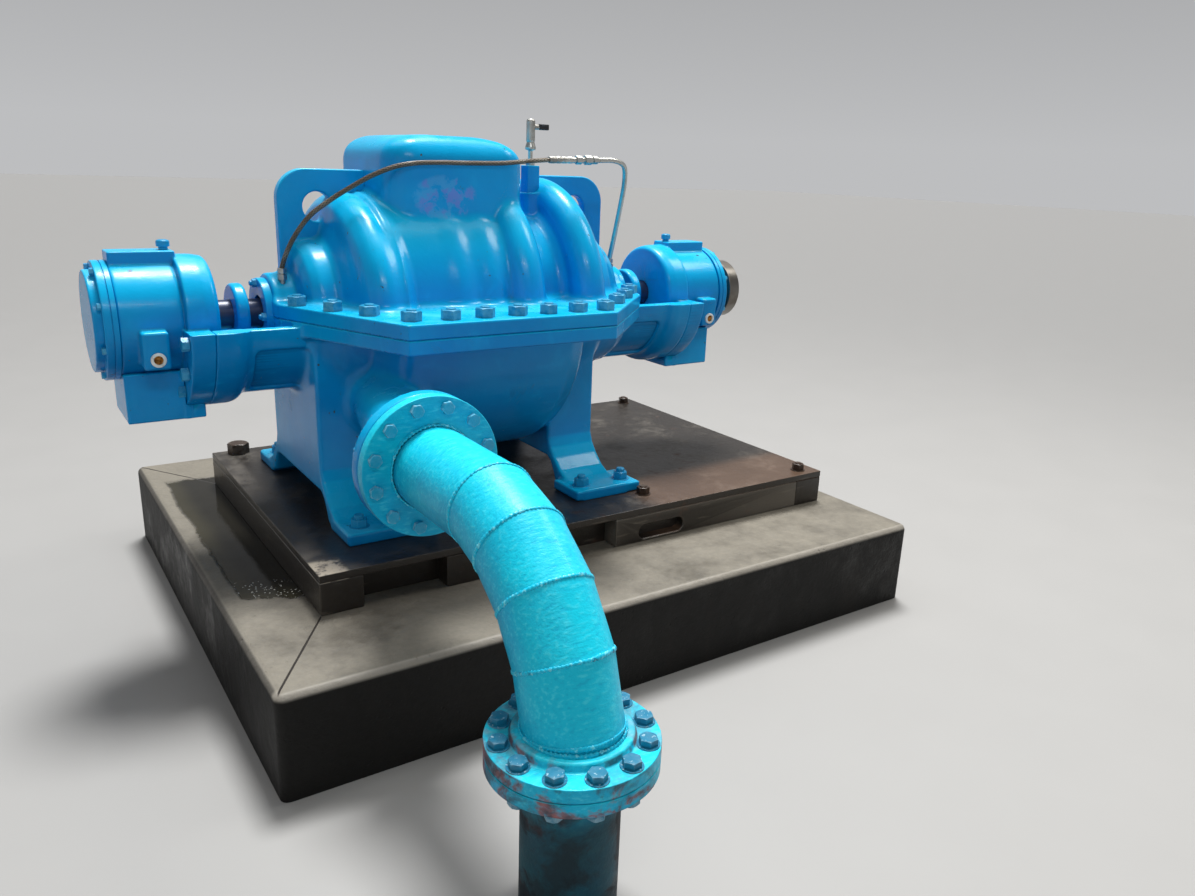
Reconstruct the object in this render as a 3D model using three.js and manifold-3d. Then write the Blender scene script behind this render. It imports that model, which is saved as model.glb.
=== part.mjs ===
// A multistage centrifugal pump with an axially split casing, on its base frame and concrete plinth.
// The shaft runs along X, the coupling end is at +X, the discharge pipe leaves towards -Y, and Z is up.
// The origin lies on the underside of the plinth, below the middle of the casing. Sizes are in millimetres.

import * as THREE from "three";
import { mergeVertices } from "three/addons/utils/BufferGeometryUtils.js";
import Module from "manifold-3d";

const wasm = await Module();
wasm.setup();

// Driving dimensions

const GAP = 0.3;
const OVER = 5;
const SHAFT_Z = 1080;

const PLINTH = { left: -970, right: 1400, halfWidth: 1020, height: 305, nosing: 22 };
const FRAME = { left: -740, right: 1290, halfWidth: 660, top: 431, deck: 24, beam: 130, recess: 70 };
const BEAM_LANDS = [-345, 290];
const FRAME_BOTTOM = PLINTH.height + GAP;
const CASING_BOTTOM = FRAME.top + GAP;

const JOINT = { thickness: 45, halfWidth: 655 };
const CHAMBER = { end: 665, pocket: 610, radius: 125 };
const SHAFT = { journal: 45, bore: 51, left: -1106, right: 1263 };
const SEAL_POCKET = 70;
const BELLY = { left: -412, right: 270, radius: 525, tight: 30, round: 90 };
const DOME = { left: -330, right: 165, halfWidth: 252, bottom: 1300, top: 1636, round: 92 };
const STAND = { left: [-594, -392], right: [257, 450], halfWidth: 248, arch: 528 };
const FOOT = { left: [-594, -300], right: [232, 505], near: 335, far: 498, thickness: 35 };
const LUG = { halfThickness: 20, edge: 614, inner: 310, top: 1529, round: 95 };
const EYE = { x: 487, z: 1412, radius: 47 };

const NOZZLE = { x: 527, z: 815, flangeBack: 898, flangeFace: 940 };
const DISCHARGE = { rootX: 372, rootY: 230, root: 100, neck: 112 };
const SUCTION = { rootY: 150, neck: 165, flange: 225, bore: 126, depth: 330 };
const FLANGE = { radius: 187.5, thickness: 32, gasket: 2, gasketRadius: 155, hub: 132, hubHeight: 18 };
const PIPE = { radius: 109.5, seams: 5, first: 325, piece: 137, last: 21 };

const BRACKET = { inner: 790, flange: 880, radius: 277, armOuter: 250, armInner: 212, root: 580, top: 1067 };
const HOUSING = { drumEnd: 1115, drum: 172, collarOut: 940, collar: 190, innerEnd: 842, taper: 178 };
const HALF_FLANGE_OUT = 948;
const PAD = { near: 930, far: 1112, top: 1283, halfWidth: 50 };
const SUMP = { near: 933, far: 1113, tail: 895, bottom: 786, top: 960, halfWidth: 117 };
const BOSS = { near: 994, far: 1066, face: 215, bottom: 962, top: 1072 };
const SIGHT = { x: 1029, z: 993, radius: 21, depth: 9 };
const BREATHER = { x: 953, radius: 19, height: 30 };
const COVER = { radius: 176, seam: 1131, seamDepth: 4, ring: 1153, boss: 150, end: 1177, chamfer: 6 };
const GLAND = { far: 691, radius: 110, bore: 55 };
const DEFLECTOR = { near: 735, far: 775, radius: 96 };
const COUPLING = { near: 1189, far: 1273, radius: 118 };
const RUNNING_FIT = 0.4;

const VENT = { x: 262, y: -80, boss: 38, block: 26, bottom: 1470, top: 1562, stem: 13, stemTop: 1718 };
const COCK = { radius: 11, z: 1687, reach: 46 };
const LINE = { hose: 7.5, pipe: 9, fitting: 14, sides: 8, hoseSteps: 56, pipeSteps: 30 };
const TAPPING = { x: 626, y: -70, root: SHAFT_Z + 90, top: 1226 };
const FERRULE = { from: [234, -264, 1583], to: [432, -264, 1588] };

// Materials

const paint = (colour, roughness = 0.3) =>
  new THREE.MeshStandardMaterial({ color: colour, roughness, metalness: 0 });
const metal = (colour, roughness = 0.35) =>
  new THREE.MeshStandardMaterial({ color: colour, roughness, metalness: 1 });

const pumpPaint = () => paint(0x0a86c4);
const pipePaint = () => paint(0x10bfe0, 0.35);
const oilyConcrete = () => paint(0x4a453f, 0.6);
const oilySteel = () => paint(0x3b3632, 0.5);
const gasketFibre = () => paint(0x2b2b2b, 0.8);
const hoseRubber = () => paint(0x6b6355, 0.55);
const brightSteel = () => metal(0x9a9c9e);
const brass = () => metal(0xb08d4a, 0.4);

// Solids: closed meshes that can be joined and cut

function solid(geometry) {
  const bare = geometry.clone();
  bare.deleteAttribute("normal");
  bare.deleteAttribute("uv");
  const merged = mergeVertices(bare, 1e-3);
  const corners = merged.index.array;
  const kept = [];
  for (let i = 0; i < corners.length; i += 3) {
    const [a, b, c] = [corners[i], corners[i + 1], corners[i + 2]];
    if (a !== b && b !== c && c !== a) {
      kept.push(a, b, c);
    }
  }
  const vertProperties = new Float32Array(merged.attributes.position.array);
  const mesh = new wasm.Mesh({ numProp: 3, vertProperties, triVerts: new Uint32Array(kept) });
  return new wasm.Manifold(mesh);
}

function toGeometry(body) {
  const mesh = body.getMesh();
  const geometry = new THREE.BufferGeometry();
  geometry.setAttribute("position", new THREE.BufferAttribute(new Float32Array(mesh.vertProperties), 3));
  geometry.setIndex(new THREE.BufferAttribute(new Uint32Array(mesh.triVerts), 1));
  geometry.computeVertexNormals();
  return geometry;
}

const pump = new THREE.Group();
pump.name = "centrifugal_pump";

function add(name, body, material) {
  const mesh = new THREE.Mesh(toGeometry(body), material);
  mesh.name = name;
  pump.add(mesh);
}

const join = (first, ...others) => others.reduce((sum, next) => sum.add(next), first);
const cut = (first, ...others) => others.reduce((rest, next) => rest.subtract(next), first);
const acrossX = (body) => body.mirror([1, 0, 0]);
const acrossY = (body) => body.mirror([0, 1, 0]);
const onBothSides = (body) => join(body, acrossY(body));
const clippedTo = (body, z0, z1) => body.intersect(box(-2000, 2000, -900, 900, z0, z1));

// A body grown by the fitting gap on every side, to cut what is seated on it
function seatOf(body) {
  const shifts = [[GAP, 0, 0], [-GAP, 0, 0], [0, GAP, 0], [0, -GAP, 0], [0, 0, GAP], [0, 0, -GAP]];
  return shifts.reduce((sum, shift) => sum.add(body.translate(shift)), body);
}

// Basic shapes

function box(x0, x1, y0, y1, z0, z1) {
  const geometry = new THREE.BoxGeometry(x1 - x0, y1 - y0, z1 - z0);
  geometry.translate((x0 + x1) / 2, (y0 + y1) / 2, (z0 + z1) / 2);
  return solid(geometry);
}

// A solid of revolution about the shaft: the profile lists [x, radius] from one end to the other
function turned(profile, segments = 40) {
  const points = profile.map(([x, radius]) => new THREE.Vector2(radius, x));
  const geometry = new THREE.LatheGeometry(points, segments);
  geometry.rotateZ(-Math.PI / 2);
  geometry.translate(0, 0, SHAFT_Z);
  return solid(geometry);
}

const drum = (x0, x1, radius, segments = 40) =>
  turned([[x0, 0], [x0, radius], [x1, radius], [x1, 0]], segments);

// A ring about the shaft; its bore is a polygon whose flats keep the given radius
function ring(x0, x1, radius, bore, segments = 40) {
  const clear = bore / Math.cos(Math.PI / segments);
  return turned([[x0, clear], [x0, radius], [x1, radius], [x1, clear], [x0, clear]], segments);
}

// A round bar along any straight line, with its own radius at each end
function bar(from, to, radius, segments = 24, farRadius = radius) {
  const start = new THREE.Vector3(...from);
  const axis = new THREE.Vector3(...to).sub(start);
  const geometry = new THREE.CylinderGeometry(farRadius, radius, axis.length(), segments);
  geometry.translate(0, axis.length() / 2, 0);
  const turn = new THREE.Quaternion().setFromUnitVectors(new THREE.Vector3(0, 1, 0), axis.normalize());
  geometry.applyQuaternion(turn);
  geometry.translate(start.x, start.y, start.z);
  return solid(geometry);
}

const shapeOf = (outline) => new THREE.Shape(outline.map(([u, v]) => new THREE.Vector2(u, v)));

// A plate with a plan outline [x, y], from one height to another
function plate(outline, z0, z1) {
  const geometry = new THREE.ExtrudeGeometry(shapeOf(outline), { depth: z1 - z0, bevelEnabled: false });
  geometry.translate(0, 0, z0);
  return solid(geometry);
}

// A prism along X with an end outline [y, z]
function prism(outline, x0, x1) {
  const geometry = new THREE.ExtrudeGeometry(shapeOf(outline), { depth: x1 - x0, bevelEnabled: false });
  const turn = new THREE.Matrix4().set(0, 0, 1, x0, 1, 0, 0, 0, 0, 1, 0, 0, 0, 0, 0, 1);
  geometry.applyMatrix4(turn);
  return solid(geometry);
}

// A block with rounded upright corners and a rounded top edge
function domedBlock([x0, x1], [y0, y1], [z0, z1], radius, steps = 4) {
  const tip = 1;
  const shape = new THREE.Shape();
  const corners = [[x1, y0, -1, 1], [x1, y1, -1, -1], [x0, y1, 1, -1], [x0, y0, 1, 1]];
  corners.forEach(([x, y, inX, inY], k) => {
    const start = ((k - 1) * Math.PI) / 2;
    shape.absarc(x + inX * radius, y + inY * radius, tip, start, start + Math.PI / 2, false);
  });
  const geometry = new THREE.ExtrudeGeometry(shape, {
    depth: z1 - z0,
    bevelEnabled: true,
    bevelThickness: radius,
    bevelSize: radius - tip,
    bevelSegments: steps,
    curveSegments: steps,
  });
  geometry.translate(0, 0, z0 - radius);
  return solid(geometry).intersect(box(x0 - OVER, x1 + OVER, y0 - OVER, y1 + OVER, z0, z1 + OVER));
}

// A round tube along a smooth curve through the given points
function tube(points, radius, steps, sides) {
  const through = points.map(([x, y, z]) => new THREE.Vector3(x, y, z));
  const curve = new THREE.CatmullRomCurve3(through, false, "centripetal");
  const section = new THREE.Shape();
  section.absarc(0, 0, radius, 0, 2 * Math.PI, false);
  return solid(new THREE.ExtrudeGeometry(section, { steps, curveSegments: sides / 2, extrudePath: curve }));
}

// Plinth with a worn nosing, and the base frame on it

function plinthBody() {
  const { left, right, halfWidth, height, nosing } = PLINTH;
  const inner = shapeOf([
    [left + nosing, -halfWidth + nosing],
    [right - nosing, -halfWidth + nosing],
    [right - nosing, halfWidth - nosing],
    [left + nosing, halfWidth - nosing],
  ]);
  const geometry = new THREE.ExtrudeGeometry(inner, {
    depth: height,
    bevelEnabled: true,
    bevelThickness: nosing,
    bevelSize: nosing,
    bevelSegments: 3,
  });
  geometry.translate(0, 0, -nosing);
  return solid(geometry).intersect(box(left, right, -halfWidth, halfWidth, 0, height));
}

add("plinth", plinthBody(), oilyConcrete());

const deckBottom = FRAME.top - FRAME.deck;
const deck = box(FRAME.left, FRAME.right, -FRAME.halfWidth, FRAME.halfWidth, deckBottom, FRAME.top);
add("base_deck_plate", deck, oilySteel());

for (const [name, x0] of [["left", FRAME.left], ["right", FRAME.right - FRAME.beam]]) {
  const beam = box(x0, x0 + FRAME.beam, -FRAME.halfWidth, FRAME.halfWidth, FRAME_BOTTOM, deckBottom - GAP);
  add(`base_end_beam_${name}`, beam, oilySteel());
}

const beamOuter = FRAME.halfWidth - FRAME.recess;
const sideBar = box(
  FRAME.left + FRAME.beam + GAP,
  FRAME.right - FRAME.beam - GAP,
  -beamOuter,
  -beamOuter + FRAME.beam,
  FRAME_BOTTOM,
  deckBottom - GAP,
);
const lands = BEAM_LANDS.map((x) =>
  box(x, x + FRAME.beam, -FRAME.halfWidth, -beamOuter + OVER, FRAME_BOTTOM, deckBottom - GAP),
);
const sideBeam = join(sideBar, ...lands);
add("base_side_beam_front", sideBeam, oilySteel());
add("base_side_beam_back", acrossY(sideBeam), oilySteel());

// Casing: two castings that meet at the shaft's height

const frontOutline = [
  [-CHAMBER.end, -150],
  [-450, -JOINT.halfWidth],
  [262, -JOINT.halfWidth],
  [590, -330],
  [CHAMBER.end, -150],
];
const jointOutline = [...frontOutline, ...frontOutline.map(([x, y]) => [x, -y]).reverse()];

const shaftBore = drum(-CHAMBER.end - OVER, CHAMBER.end + OVER, SHAFT.bore, 24);
const sealPocket = drum(CHAMBER.pocket, CHAMBER.end + OVER, SEAL_POCKET, 24);
const sealPockets = join(sealPocket, acrossX(sealPocket));

// Upper casing: a stepped barrel with the stage volutes standing out as rings
function swell(middle, half, base, crest) {
  const steps = 6;
  const points = [];
  for (let i = 0; i <= steps; i += 1) {
    const angle = (Math.PI * i) / steps;
    points.push([middle - half * Math.cos(angle), base + (crest - base) * Math.sin(angle)]);
  }
  return points;
}

function upperBarrel() {
  return turned([
    [-CHAMBER.end, 0], [-CHAMBER.end, CHAMBER.radius], [-592, CHAMBER.radius], [-584, 180], [-566, 212],
    [-545, 222], [-505, 222], [-494, 262], [-470, 285],
    ...swell(-404, 58, 340, 420),
    [-330, 380], [-205, 380],
    ...swell(-143, 55, 381, 403),
    ...swell(-35, 50, 382, 403),
    ...swell(90, 64, 355, 440),
    [166, 325], [252, 325],
    ...swell(325, 55, 355, 442),
    [392, 313], [450, 295], [500, 276], [540, 235], [572, 214], [588, 170], [592, CHAMBER.radius],
    [CHAMBER.end, CHAMBER.radius], [CHAMBER.end, 0],
  ]);
}

function upperCasing() {
  const jointPlane = SHAFT_Z + GAP / 2;
  const flange = plate(jointOutline, jointPlane, SHAFT_Z + JOINT.thickness);
  const dome = domedBlock(
    [DOME.left, DOME.right],
    [-DOME.halfWidth, DOME.halfWidth],
    [DOME.bottom, DOME.top],
    DOME.round,
  );
  const ventBoss = bar([VENT.x, VENT.y, SHAFT_Z + 300], [VENT.x, VENT.y, VENT.bottom], VENT.boss, 16);
  const whole = join(clippedTo(upperBarrel(), jointPlane, 2000), flange, dome, ventBoss);
  return cut(whole, shaftBore, sealPockets);
}

// A stand reaches across under each end of the casing: an arch between two feet
const standFront = [
  [-STAND.halfWidth, SHAFT_Z - JOINT.thickness],
  [-STAND.halfWidth, 600],
  [-262, 565],
  [-290, 530],
  [-330, 495],
  [-375, 474],
  [-420, CASING_BOTTOM + FOOT.thickness],
  [-FOOT.far, CASING_BOTTOM + FOOT.thickness],
  [-FOOT.far, CASING_BOTTOM],
  [-FOOT.near, CASING_BOTTOM],
  [-303, 446],
  [-285, 480],
  [-265, 512],
  [-238, STAND.arch],
];
const standOutline = [...standFront, ...standFront.map(([y, z]) => [-y, z]).reverse()];

function stand(side) {
  const footTop = CASING_BOTTOM + FOOT.thickness;
  const foot = box(...FOOT[side], -FOOT.far, -FOOT.near, CASING_BOTTOM, footTop);
  return join(prism(standOutline, ...STAND[side]), onBothSides(foot));
}

// Discharge nozzle on the front, with a neck that spreads towards its flange
function dischargeNozzle() {
  const { x, z, flangeBack, flangeFace } = NOZZLE;
  const { rootX, rootY, root, neck } = DISCHARGE;
  return join(
    bar([-rootX, -rootY, z], [-x, -flangeBack - OVER, z], root, 32, neck),
    bar([-x, -flangeBack, z], [-x, -flangeFace, z], FLANGE.radius, 48),
  );
}

// Suction nozzle on the back, and its open bore
function suctionNozzle() {
  const { x, z, flangeBack, flangeFace } = NOZZLE;
  return join(
    bar([x, SUCTION.rootY, z], [x, flangeBack + OVER, z], SUCTION.neck, 32),
    bar([x, flangeBack, z], [x, flangeFace, z], SUCTION.flange, 48),
  );
}

function suctionBore() {
  const { x, z, flangeFace } = NOZZLE;
  return bar([x, flangeFace - SUCTION.depth, z], [x, flangeFace + OVER, z], SUCTION.bore, 32);
}

// Lower casing: a deep belly, two stands and both nozzles in one casting
function lowerCasing() {
  const { left, right, radius, tight, round } = BELLY;
  const corner = tight * 0.3;
  const shoulder = round * 0.3;
  const belly = turned([
    [-CHAMBER.end, 0], [-CHAMBER.end, CHAMBER.radius], [-600, CHAMBER.radius], [-592, 250], [left - 88, 300],
    [left - 16, 330], [left, radius - tight], [left + corner, radius - corner], [left + tight, radius],
    [right - round, radius], [right - shoulder, radius - shoulder], [right, radius - round],
    [right + 60, 330], [592, 250], [600, CHAMBER.radius], [CHAMBER.end, CHAMBER.radius], [CHAMBER.end, 0],
  ]);
  const jointPlane = SHAFT_Z - GAP / 2;
  const flange = plate(jointOutline, SHAFT_Z - JOINT.thickness, jointPlane);
  const stands = join(stand("left"), stand("right"));
  const whole = join(clippedTo(belly, 0, jointPlane), flange, stands, dischargeNozzle(), suctionNozzle());
  return cut(whole, shaftBore, sealPockets, suctionBore());
}

const upper = upperCasing();
const lower = lowerCasing();
const upperSeat = seatOf(upper);
const lowerSeat = seatOf(lower);
add("upper_casing", upper, pumpPaint());
add("lower_casing", lower, pumpPaint());

// Lifting lugs: upright plates in the plane of the shaft, seated on the upper casing
function leftLug() {
  const { halfThickness, edge, inner, top, round } = LUG;
  const shape = new THREE.Shape();
  const foot = SHAFT_Z + CHAMBER.radius - 15;
  shape.moveTo(-edge, foot);
  shape.lineTo(-inner, foot);
  shape.lineTo(-inner, top);
  shape.lineTo(-edge + round, top);
  shape.absarc(-edge + round, top - round, round, Math.PI / 2, Math.PI, false);
  const eye = new THREE.Path();
  eye.absarc(-EYE.x, EYE.z, EYE.radius, 0, 2 * Math.PI, true);
  shape.holes.push(eye);
  const geometry = new THREE.ExtrudeGeometry(shape, {
    depth: 2 * halfThickness,
    bevelEnabled: false,
    curveSegments: 8,
  });
  geometry.rotateX(Math.PI / 2);
  geometry.translate(0, halfThickness, 0);
  return solid(geometry);
}

add("lifting_lug_left", cut(leftLug(), upperSeat), pumpPaint());
add("lifting_lug_right", cut(acrossX(leftLug()), upperSeat), pumpPaint());

// Bearing bracket: a half pipe with a flange, open at the top, cast to the casing's end
function bracket() {
  const { inner, flange, radius, armOuter, armInner, root, top } = BRACKET;
  const arm = cut(drum(-inner - OVER, -root, armOuter), drum(-inner - 2 * OVER, -root + OVER, armInner));
  return clippedTo(join(arm, ring(-flange, -inner, radius, armInner)), 0, top);
}

// Bearing housing: a drum with a collar, a half flange, a pad on top and a boss for the sight glass
function bearingHousing() {
  const { drumEnd, collarOut, collar, innerEnd, taper } = HOUSING;
  const body = turned([
    [-drumEnd, 0], [-drumEnd, HOUSING.drum], [-collarOut, HOUSING.drum], [-collarOut + 4, collar],
    [-BRACKET.flange, collar - 2], [-innerEnd, taper], [-innerEnd, 0],
  ]);
  const flange = clippedTo(drum(-HALF_FLANGE_OUT, -BRACKET.flange - GAP, BRACKET.radius), 0, BRACKET.top);
  const pad = box(-PAD.far, -PAD.near, -PAD.halfWidth, PAD.halfWidth, SHAFT_Z + 120, PAD.top);
  const boss = box(-BOSS.far, -BOSS.near, -BOSS.face, -120, BOSS.bottom, BOSS.top);
  const bore = drum(-drumEnd - OVER, -innerEnd + OVER, SHAFT.journal + RUNNING_FIT, 48);
  return cut(join(body, flange, pad, boss), bore);
}

function oilSump() {
  const { near, far, tail, bottom, top, halfWidth } = SUMP;
  const main = box(-far, -near, -halfWidth, halfWidth, bottom, top);
  const toe = box(-near - 1, -tail, -halfWidth, halfWidth, bottom, SHAFT_Z - BRACKET.radius - 1);
  return join(main, toe);
}

// End cover: a bolted ring with a seam, and a round boss in the middle
function endCover() {
  const { radius, seam, seamDepth, ring: face, boss, end, chamfer } = COVER;
  const inner = HOUSING.drumEnd + GAP;
  return turned([
    [-end, 0], [-end, boss - chamfer], [-end + chamfer, boss], [-face, boss], [-face, radius],
    [-seam - 1.5, radius], [-seam - 1.5, radius - seamDepth], [-seam + 1.5, radius - seamDepth],
    [-seam + 1.5, radius], [-inner, radius], [-inner, 0],
  ]);
}

for (const [end, place] of [["free_end", (body) => body], ["drive_end", acrossX]]) {
  const housing = bearingHousing();
  const shaftHole = drum(-COVER.end - OVER, -HOUSING.drumEnd + OVER, SHAFT.journal + 6, 32);
  const cover = end === "drive_end" ? cut(endCover(), shaftHole) : endCover();
  const glandPlate = ring(-GLAND.far, -CHAMBER.end - GAP, GLAND.radius, GLAND.bore);
  const glassFrom = [-SIGHT.x, -BOSS.face - GAP, SIGHT.z];
  const glassTo = [-SIGHT.x, -BOSS.face - SIGHT.depth, SIGHT.z];
  const capFrom = [-BREATHER.x, 0, PAD.top + GAP];
  const capTo = [-BREATHER.x, 0, PAD.top + BREATHER.height];
  add(`bearing_bracket_${end}`, cut(place(bracket()), lowerSeat), pumpPaint());
  add(`bearing_housing_${end}`, place(housing), pumpPaint());
  add(`oil_sump_${end}`, place(cut(oilSump(), seatOf(housing))), pumpPaint());
  add(`end_cover_${end}`, place(cover), pumpPaint());
  add(`gland_plate_${end}`, place(glandPlate), pumpPaint());
  add(`sight_glass_${end}`, place(bar(glassFrom, glassTo, SIGHT.radius, 20)), brass());
  add(`breather_cap_${end}`, place(bar(capFrom, capTo, BREATHER.radius, 16)), pumpPaint());
}

// Rotor: shaft, deflector rings and coupling hub

const clearOfShaft = SHAFT.journal + GAP;
const deflector = ring(-DEFLECTOR.far, -DEFLECTOR.near, DEFLECTOR.radius, clearOfShaft, 48);
add("shaft", drum(SHAFT.left, SHAFT.right, SHAFT.journal, 48), brightSteel());
add("deflector_ring_free_end", deflector, pumpPaint());
add("deflector_ring_drive_end", acrossX(deflector), pumpPaint());
add("coupling_hub", ring(COUPLING.near, COUPLING.far, COUPLING.radius, clearOfShaft, 48), brightSteel());

// Discharge spool: a flange, a bend of straight pieces welded at mitred seams, and a second flange

const spoolX = -NOZZLE.x;
const spoolBack = -NOZZLE.flangeFace - FLANGE.gasket;
const spoolFront = spoolBack - FLANGE.thickness;

// The middle of the pipe at its start, at every seam and at its end
function bendCentres() {
  const turn = Math.PI / 2 / PIPE.seams;
  const hidden = 20;
  const lengths = [PIPE.first + hidden, ...Array(PIPE.seams - 1).fill(PIPE.piece), PIPE.last];
  const centres = [new THREE.Vector2(spoolFront + hidden, NOZZLE.z)];
  lengths.forEach((length, k) => {
    const way = new THREE.Vector2(-Math.cos(k * turn), -Math.sin(k * turn));
    centres.push(centres[k].clone().addScaledVector(way, length));
  });
  return centres;
}

// A straight cylinder whose rings of points are moved onto the seam planes
function mitredBend(centres) {
  const pieces = centres.length - 1;
  const turn = Math.PI / 2 / PIPE.seams;
  const geometry = new THREE.CylinderGeometry(PIPE.radius, PIPE.radius, 1, 40, pieces);
  const position = geometry.attributes.position;
  const point = new THREE.Vector3();
  for (let i = 0; i < position.count; i += 1) {
    point.fromBufferAttribute(position, i);
    const seam = Math.round((0.5 - point.y) * pieces);
    const square = seam === 0 || seam === pieces;
    const tilt = square ? Math.round(seam / pieces) * (Math.PI / 2) : (seam - 0.5) * turn;
    const up = point.z / (square ? 1 : Math.cos(turn / 2));
    const centre = centres[seam];
    position.setXYZ(i, spoolX + point.x, centre.x - up * Math.sin(tilt), centre.y + up * Math.cos(tilt));
  }
  return solid(geometry);
}

const centres = bendCentres();
const riserY = centres[centres.length - 1].x;
const lowerFace = centres[centres.length - 1].y;
const onRiser = (z) => [spoolX, riserY, z];

const hubTop = lowerFace + FLANGE.hubHeight;
const bendRoom = box(-2000, 2000, -4000, spoolFront - GAP, hubTop + GAP, 2000);
add("discharge_bend", mitredBend(centres).intersect(bendRoom), pipePaint());

const upperFlange = bar([spoolX, spoolBack, NOZZLE.z], [spoolX, spoolFront, NOZZLE.z], FLANGE.radius, 48);
add("bend_flange_upper", upperFlange, pipePaint());

const lowerBottom = lowerFace - FLANGE.thickness;
const lowerFlange = bar(onRiser(lowerBottom), onRiser(lowerFace), FLANGE.radius, 48);
const hub = bar(onRiser(lowerFace - OVER), onRiser(hubTop), FLANGE.hub, 40);
add("bend_flange_lower", join(lowerFlange, hub), pipePaint());

const riserTop = lowerBottom - FLANGE.gasket;
const riserFlangeBottom = riserTop - FLANGE.thickness;
add("riser_flange", bar(onRiser(riserFlangeBottom), onRiser(riserTop), FLANGE.radius, 48), pipePaint());
add("riser_pipe", bar(onRiser(0), onRiser(riserFlangeBottom - GAP), PIPE.radius, 40), pipePaint());

const gasket = (from, to) => bar(from, to, FLANGE.gasketRadius, 40);
const gasketBack = [spoolX, -NOZZLE.flangeFace - GAP, NOZZLE.z];
const gasketFront = [spoolX, spoolBack + GAP, NOZZLE.z];
add("gasket_upper", gasket(gasketBack, gasketFront), gasketFibre());
add("gasket_lower", gasket(onRiser(riserTop + GAP), onRiser(lowerBottom - GAP)), gasketFibre());

// Vent cock on a block beside the crossover

const { x: ventX, y: ventY, block: ventHalf } = VENT;
const ventBlock = box(
  ventX - ventHalf,
  ventX + ventHalf,
  ventY - ventHalf,
  ventY + ventHalf,
  VENT.bottom - OVER,
  VENT.top,
);
const cock = join(
  bar([ventX, ventY, VENT.top + GAP], [ventX, ventY, VENT.stemTop], VENT.stem, 16),
  bar([ventX, ventY, COCK.z], [ventX + COCK.reach, ventY, COCK.z], COCK.radius, 12),
);
add("vent_block", cut(ventBlock, upperSeat), pumpPaint());
add("vent_cock", cock, brightSteel());

// Seal flush line: a hose from the free-end seal chamber past the dome, and a bent pipe down to the other

const { x: tapX, y: tapY, top: tapZ } = TAPPING;
const hoseRoute = [
  [-tapX, tapY, tapZ], [-617, -82, 1262], [-592, -102, 1322], [-548, -132, 1390], [-494, -164, 1438],
  [-436, -196, 1480], [-380, -226, 1516], [-320, -252, 1543], [-262, -263, 1556], [-180, -264, 1561],
  [-60, -264, 1563], [60, -264, 1567], [150, -264, 1576], FERRULE.from,
];
const pipeRoute = [
  FERRULE.to, [500, -264, 1588], [548, -250, 1572], [582, -212, 1520], [604, -164, 1440], [619, -112, 1330],
  [tapX, tapY, tapZ],
];
const hose = tube(hoseRoute, LINE.hose, LINE.hoseSteps, LINE.sides);
const flushPipe = tube(pipeRoute, LINE.pipe, LINE.pipeSteps, LINE.sides);
const lineSeat = join(seatOf(hose), seatOf(flushPipe));
const ferrule = bar(FERRULE.from, FERRULE.to, LINE.fitting, 12);
add("flush_hose", hose, hoseRubber());
add("flush_pipe", flushPipe, brightSteel());
add("hose_ferrule", cut(ferrule, lineSeat), brightSteel());
for (const [end, side] of [["free_end", -1], ["drive_end", 1]]) {
  const x = side * tapX;
  const fitting = bar([x, tapY, TAPPING.root], [x, tapY, tapZ - GAP], LINE.fitting, 12);
  add(`flush_fitting_${end}`, cut(fitting, upperSeat, lineSeat), brightSteel());
}

export default pump;
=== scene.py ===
# %% [markdown]
# A lesson in dressing a machine: a multistage centrifugal pump with a split casing.
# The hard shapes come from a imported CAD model, which is loaded as a fixed frame. Every Blender
# piece below is in metres in the same frame: the shaft runs along X, the coupling end is at +X,
# the discharge pipe leaves towards -Y, and Z is up from the underside of the plinth.

# %% Load the frame
from contextlib import contextmanager
import math

import bmesh
import bpy
import numpy as np
from mathutils import Matrix, Vector


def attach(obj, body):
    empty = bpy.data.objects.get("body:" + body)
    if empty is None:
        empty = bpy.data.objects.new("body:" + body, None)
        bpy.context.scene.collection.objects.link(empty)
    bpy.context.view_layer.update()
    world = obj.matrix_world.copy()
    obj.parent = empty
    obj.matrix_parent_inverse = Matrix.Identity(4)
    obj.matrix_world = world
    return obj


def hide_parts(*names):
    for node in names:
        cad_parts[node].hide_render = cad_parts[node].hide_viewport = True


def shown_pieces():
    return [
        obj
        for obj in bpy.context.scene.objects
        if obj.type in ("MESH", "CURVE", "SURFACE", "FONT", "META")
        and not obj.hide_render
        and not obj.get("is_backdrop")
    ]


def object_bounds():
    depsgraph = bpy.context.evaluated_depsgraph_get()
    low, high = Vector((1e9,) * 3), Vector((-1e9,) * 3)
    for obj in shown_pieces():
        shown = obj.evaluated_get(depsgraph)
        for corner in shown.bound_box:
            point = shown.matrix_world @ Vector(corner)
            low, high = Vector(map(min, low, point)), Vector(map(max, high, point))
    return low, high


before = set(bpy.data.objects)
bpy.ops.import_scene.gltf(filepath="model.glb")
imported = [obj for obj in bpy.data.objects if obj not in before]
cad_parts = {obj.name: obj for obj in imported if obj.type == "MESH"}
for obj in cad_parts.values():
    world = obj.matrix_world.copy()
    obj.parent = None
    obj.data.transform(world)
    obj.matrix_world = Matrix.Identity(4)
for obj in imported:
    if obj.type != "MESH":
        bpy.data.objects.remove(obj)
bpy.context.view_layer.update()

# %% [markdown]
# The camera stands where the photographer stood: at head height, left of the pump and in front.
# Its position and its three axes were worked out from straight edges of the machine. They are
# written as plain numbers, because a camera that is solved once needs no constraint.

# %% Camera
def in_scene(name, data):
    thing = bpy.data.objects.new(name, data)
    bpy.context.scene.collection.objects.link(thing)
    return thing


right = Vector((0.8296366, -0.5571628, 0.0356759))
down = Vector((-0.1341777, -0.2610076, -0.9559662))
ahead = Vector((0.5419405, 0.7883176, -0.2913002))
stand = Vector((-1.4542, -3.0640, 1.5679))

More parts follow.
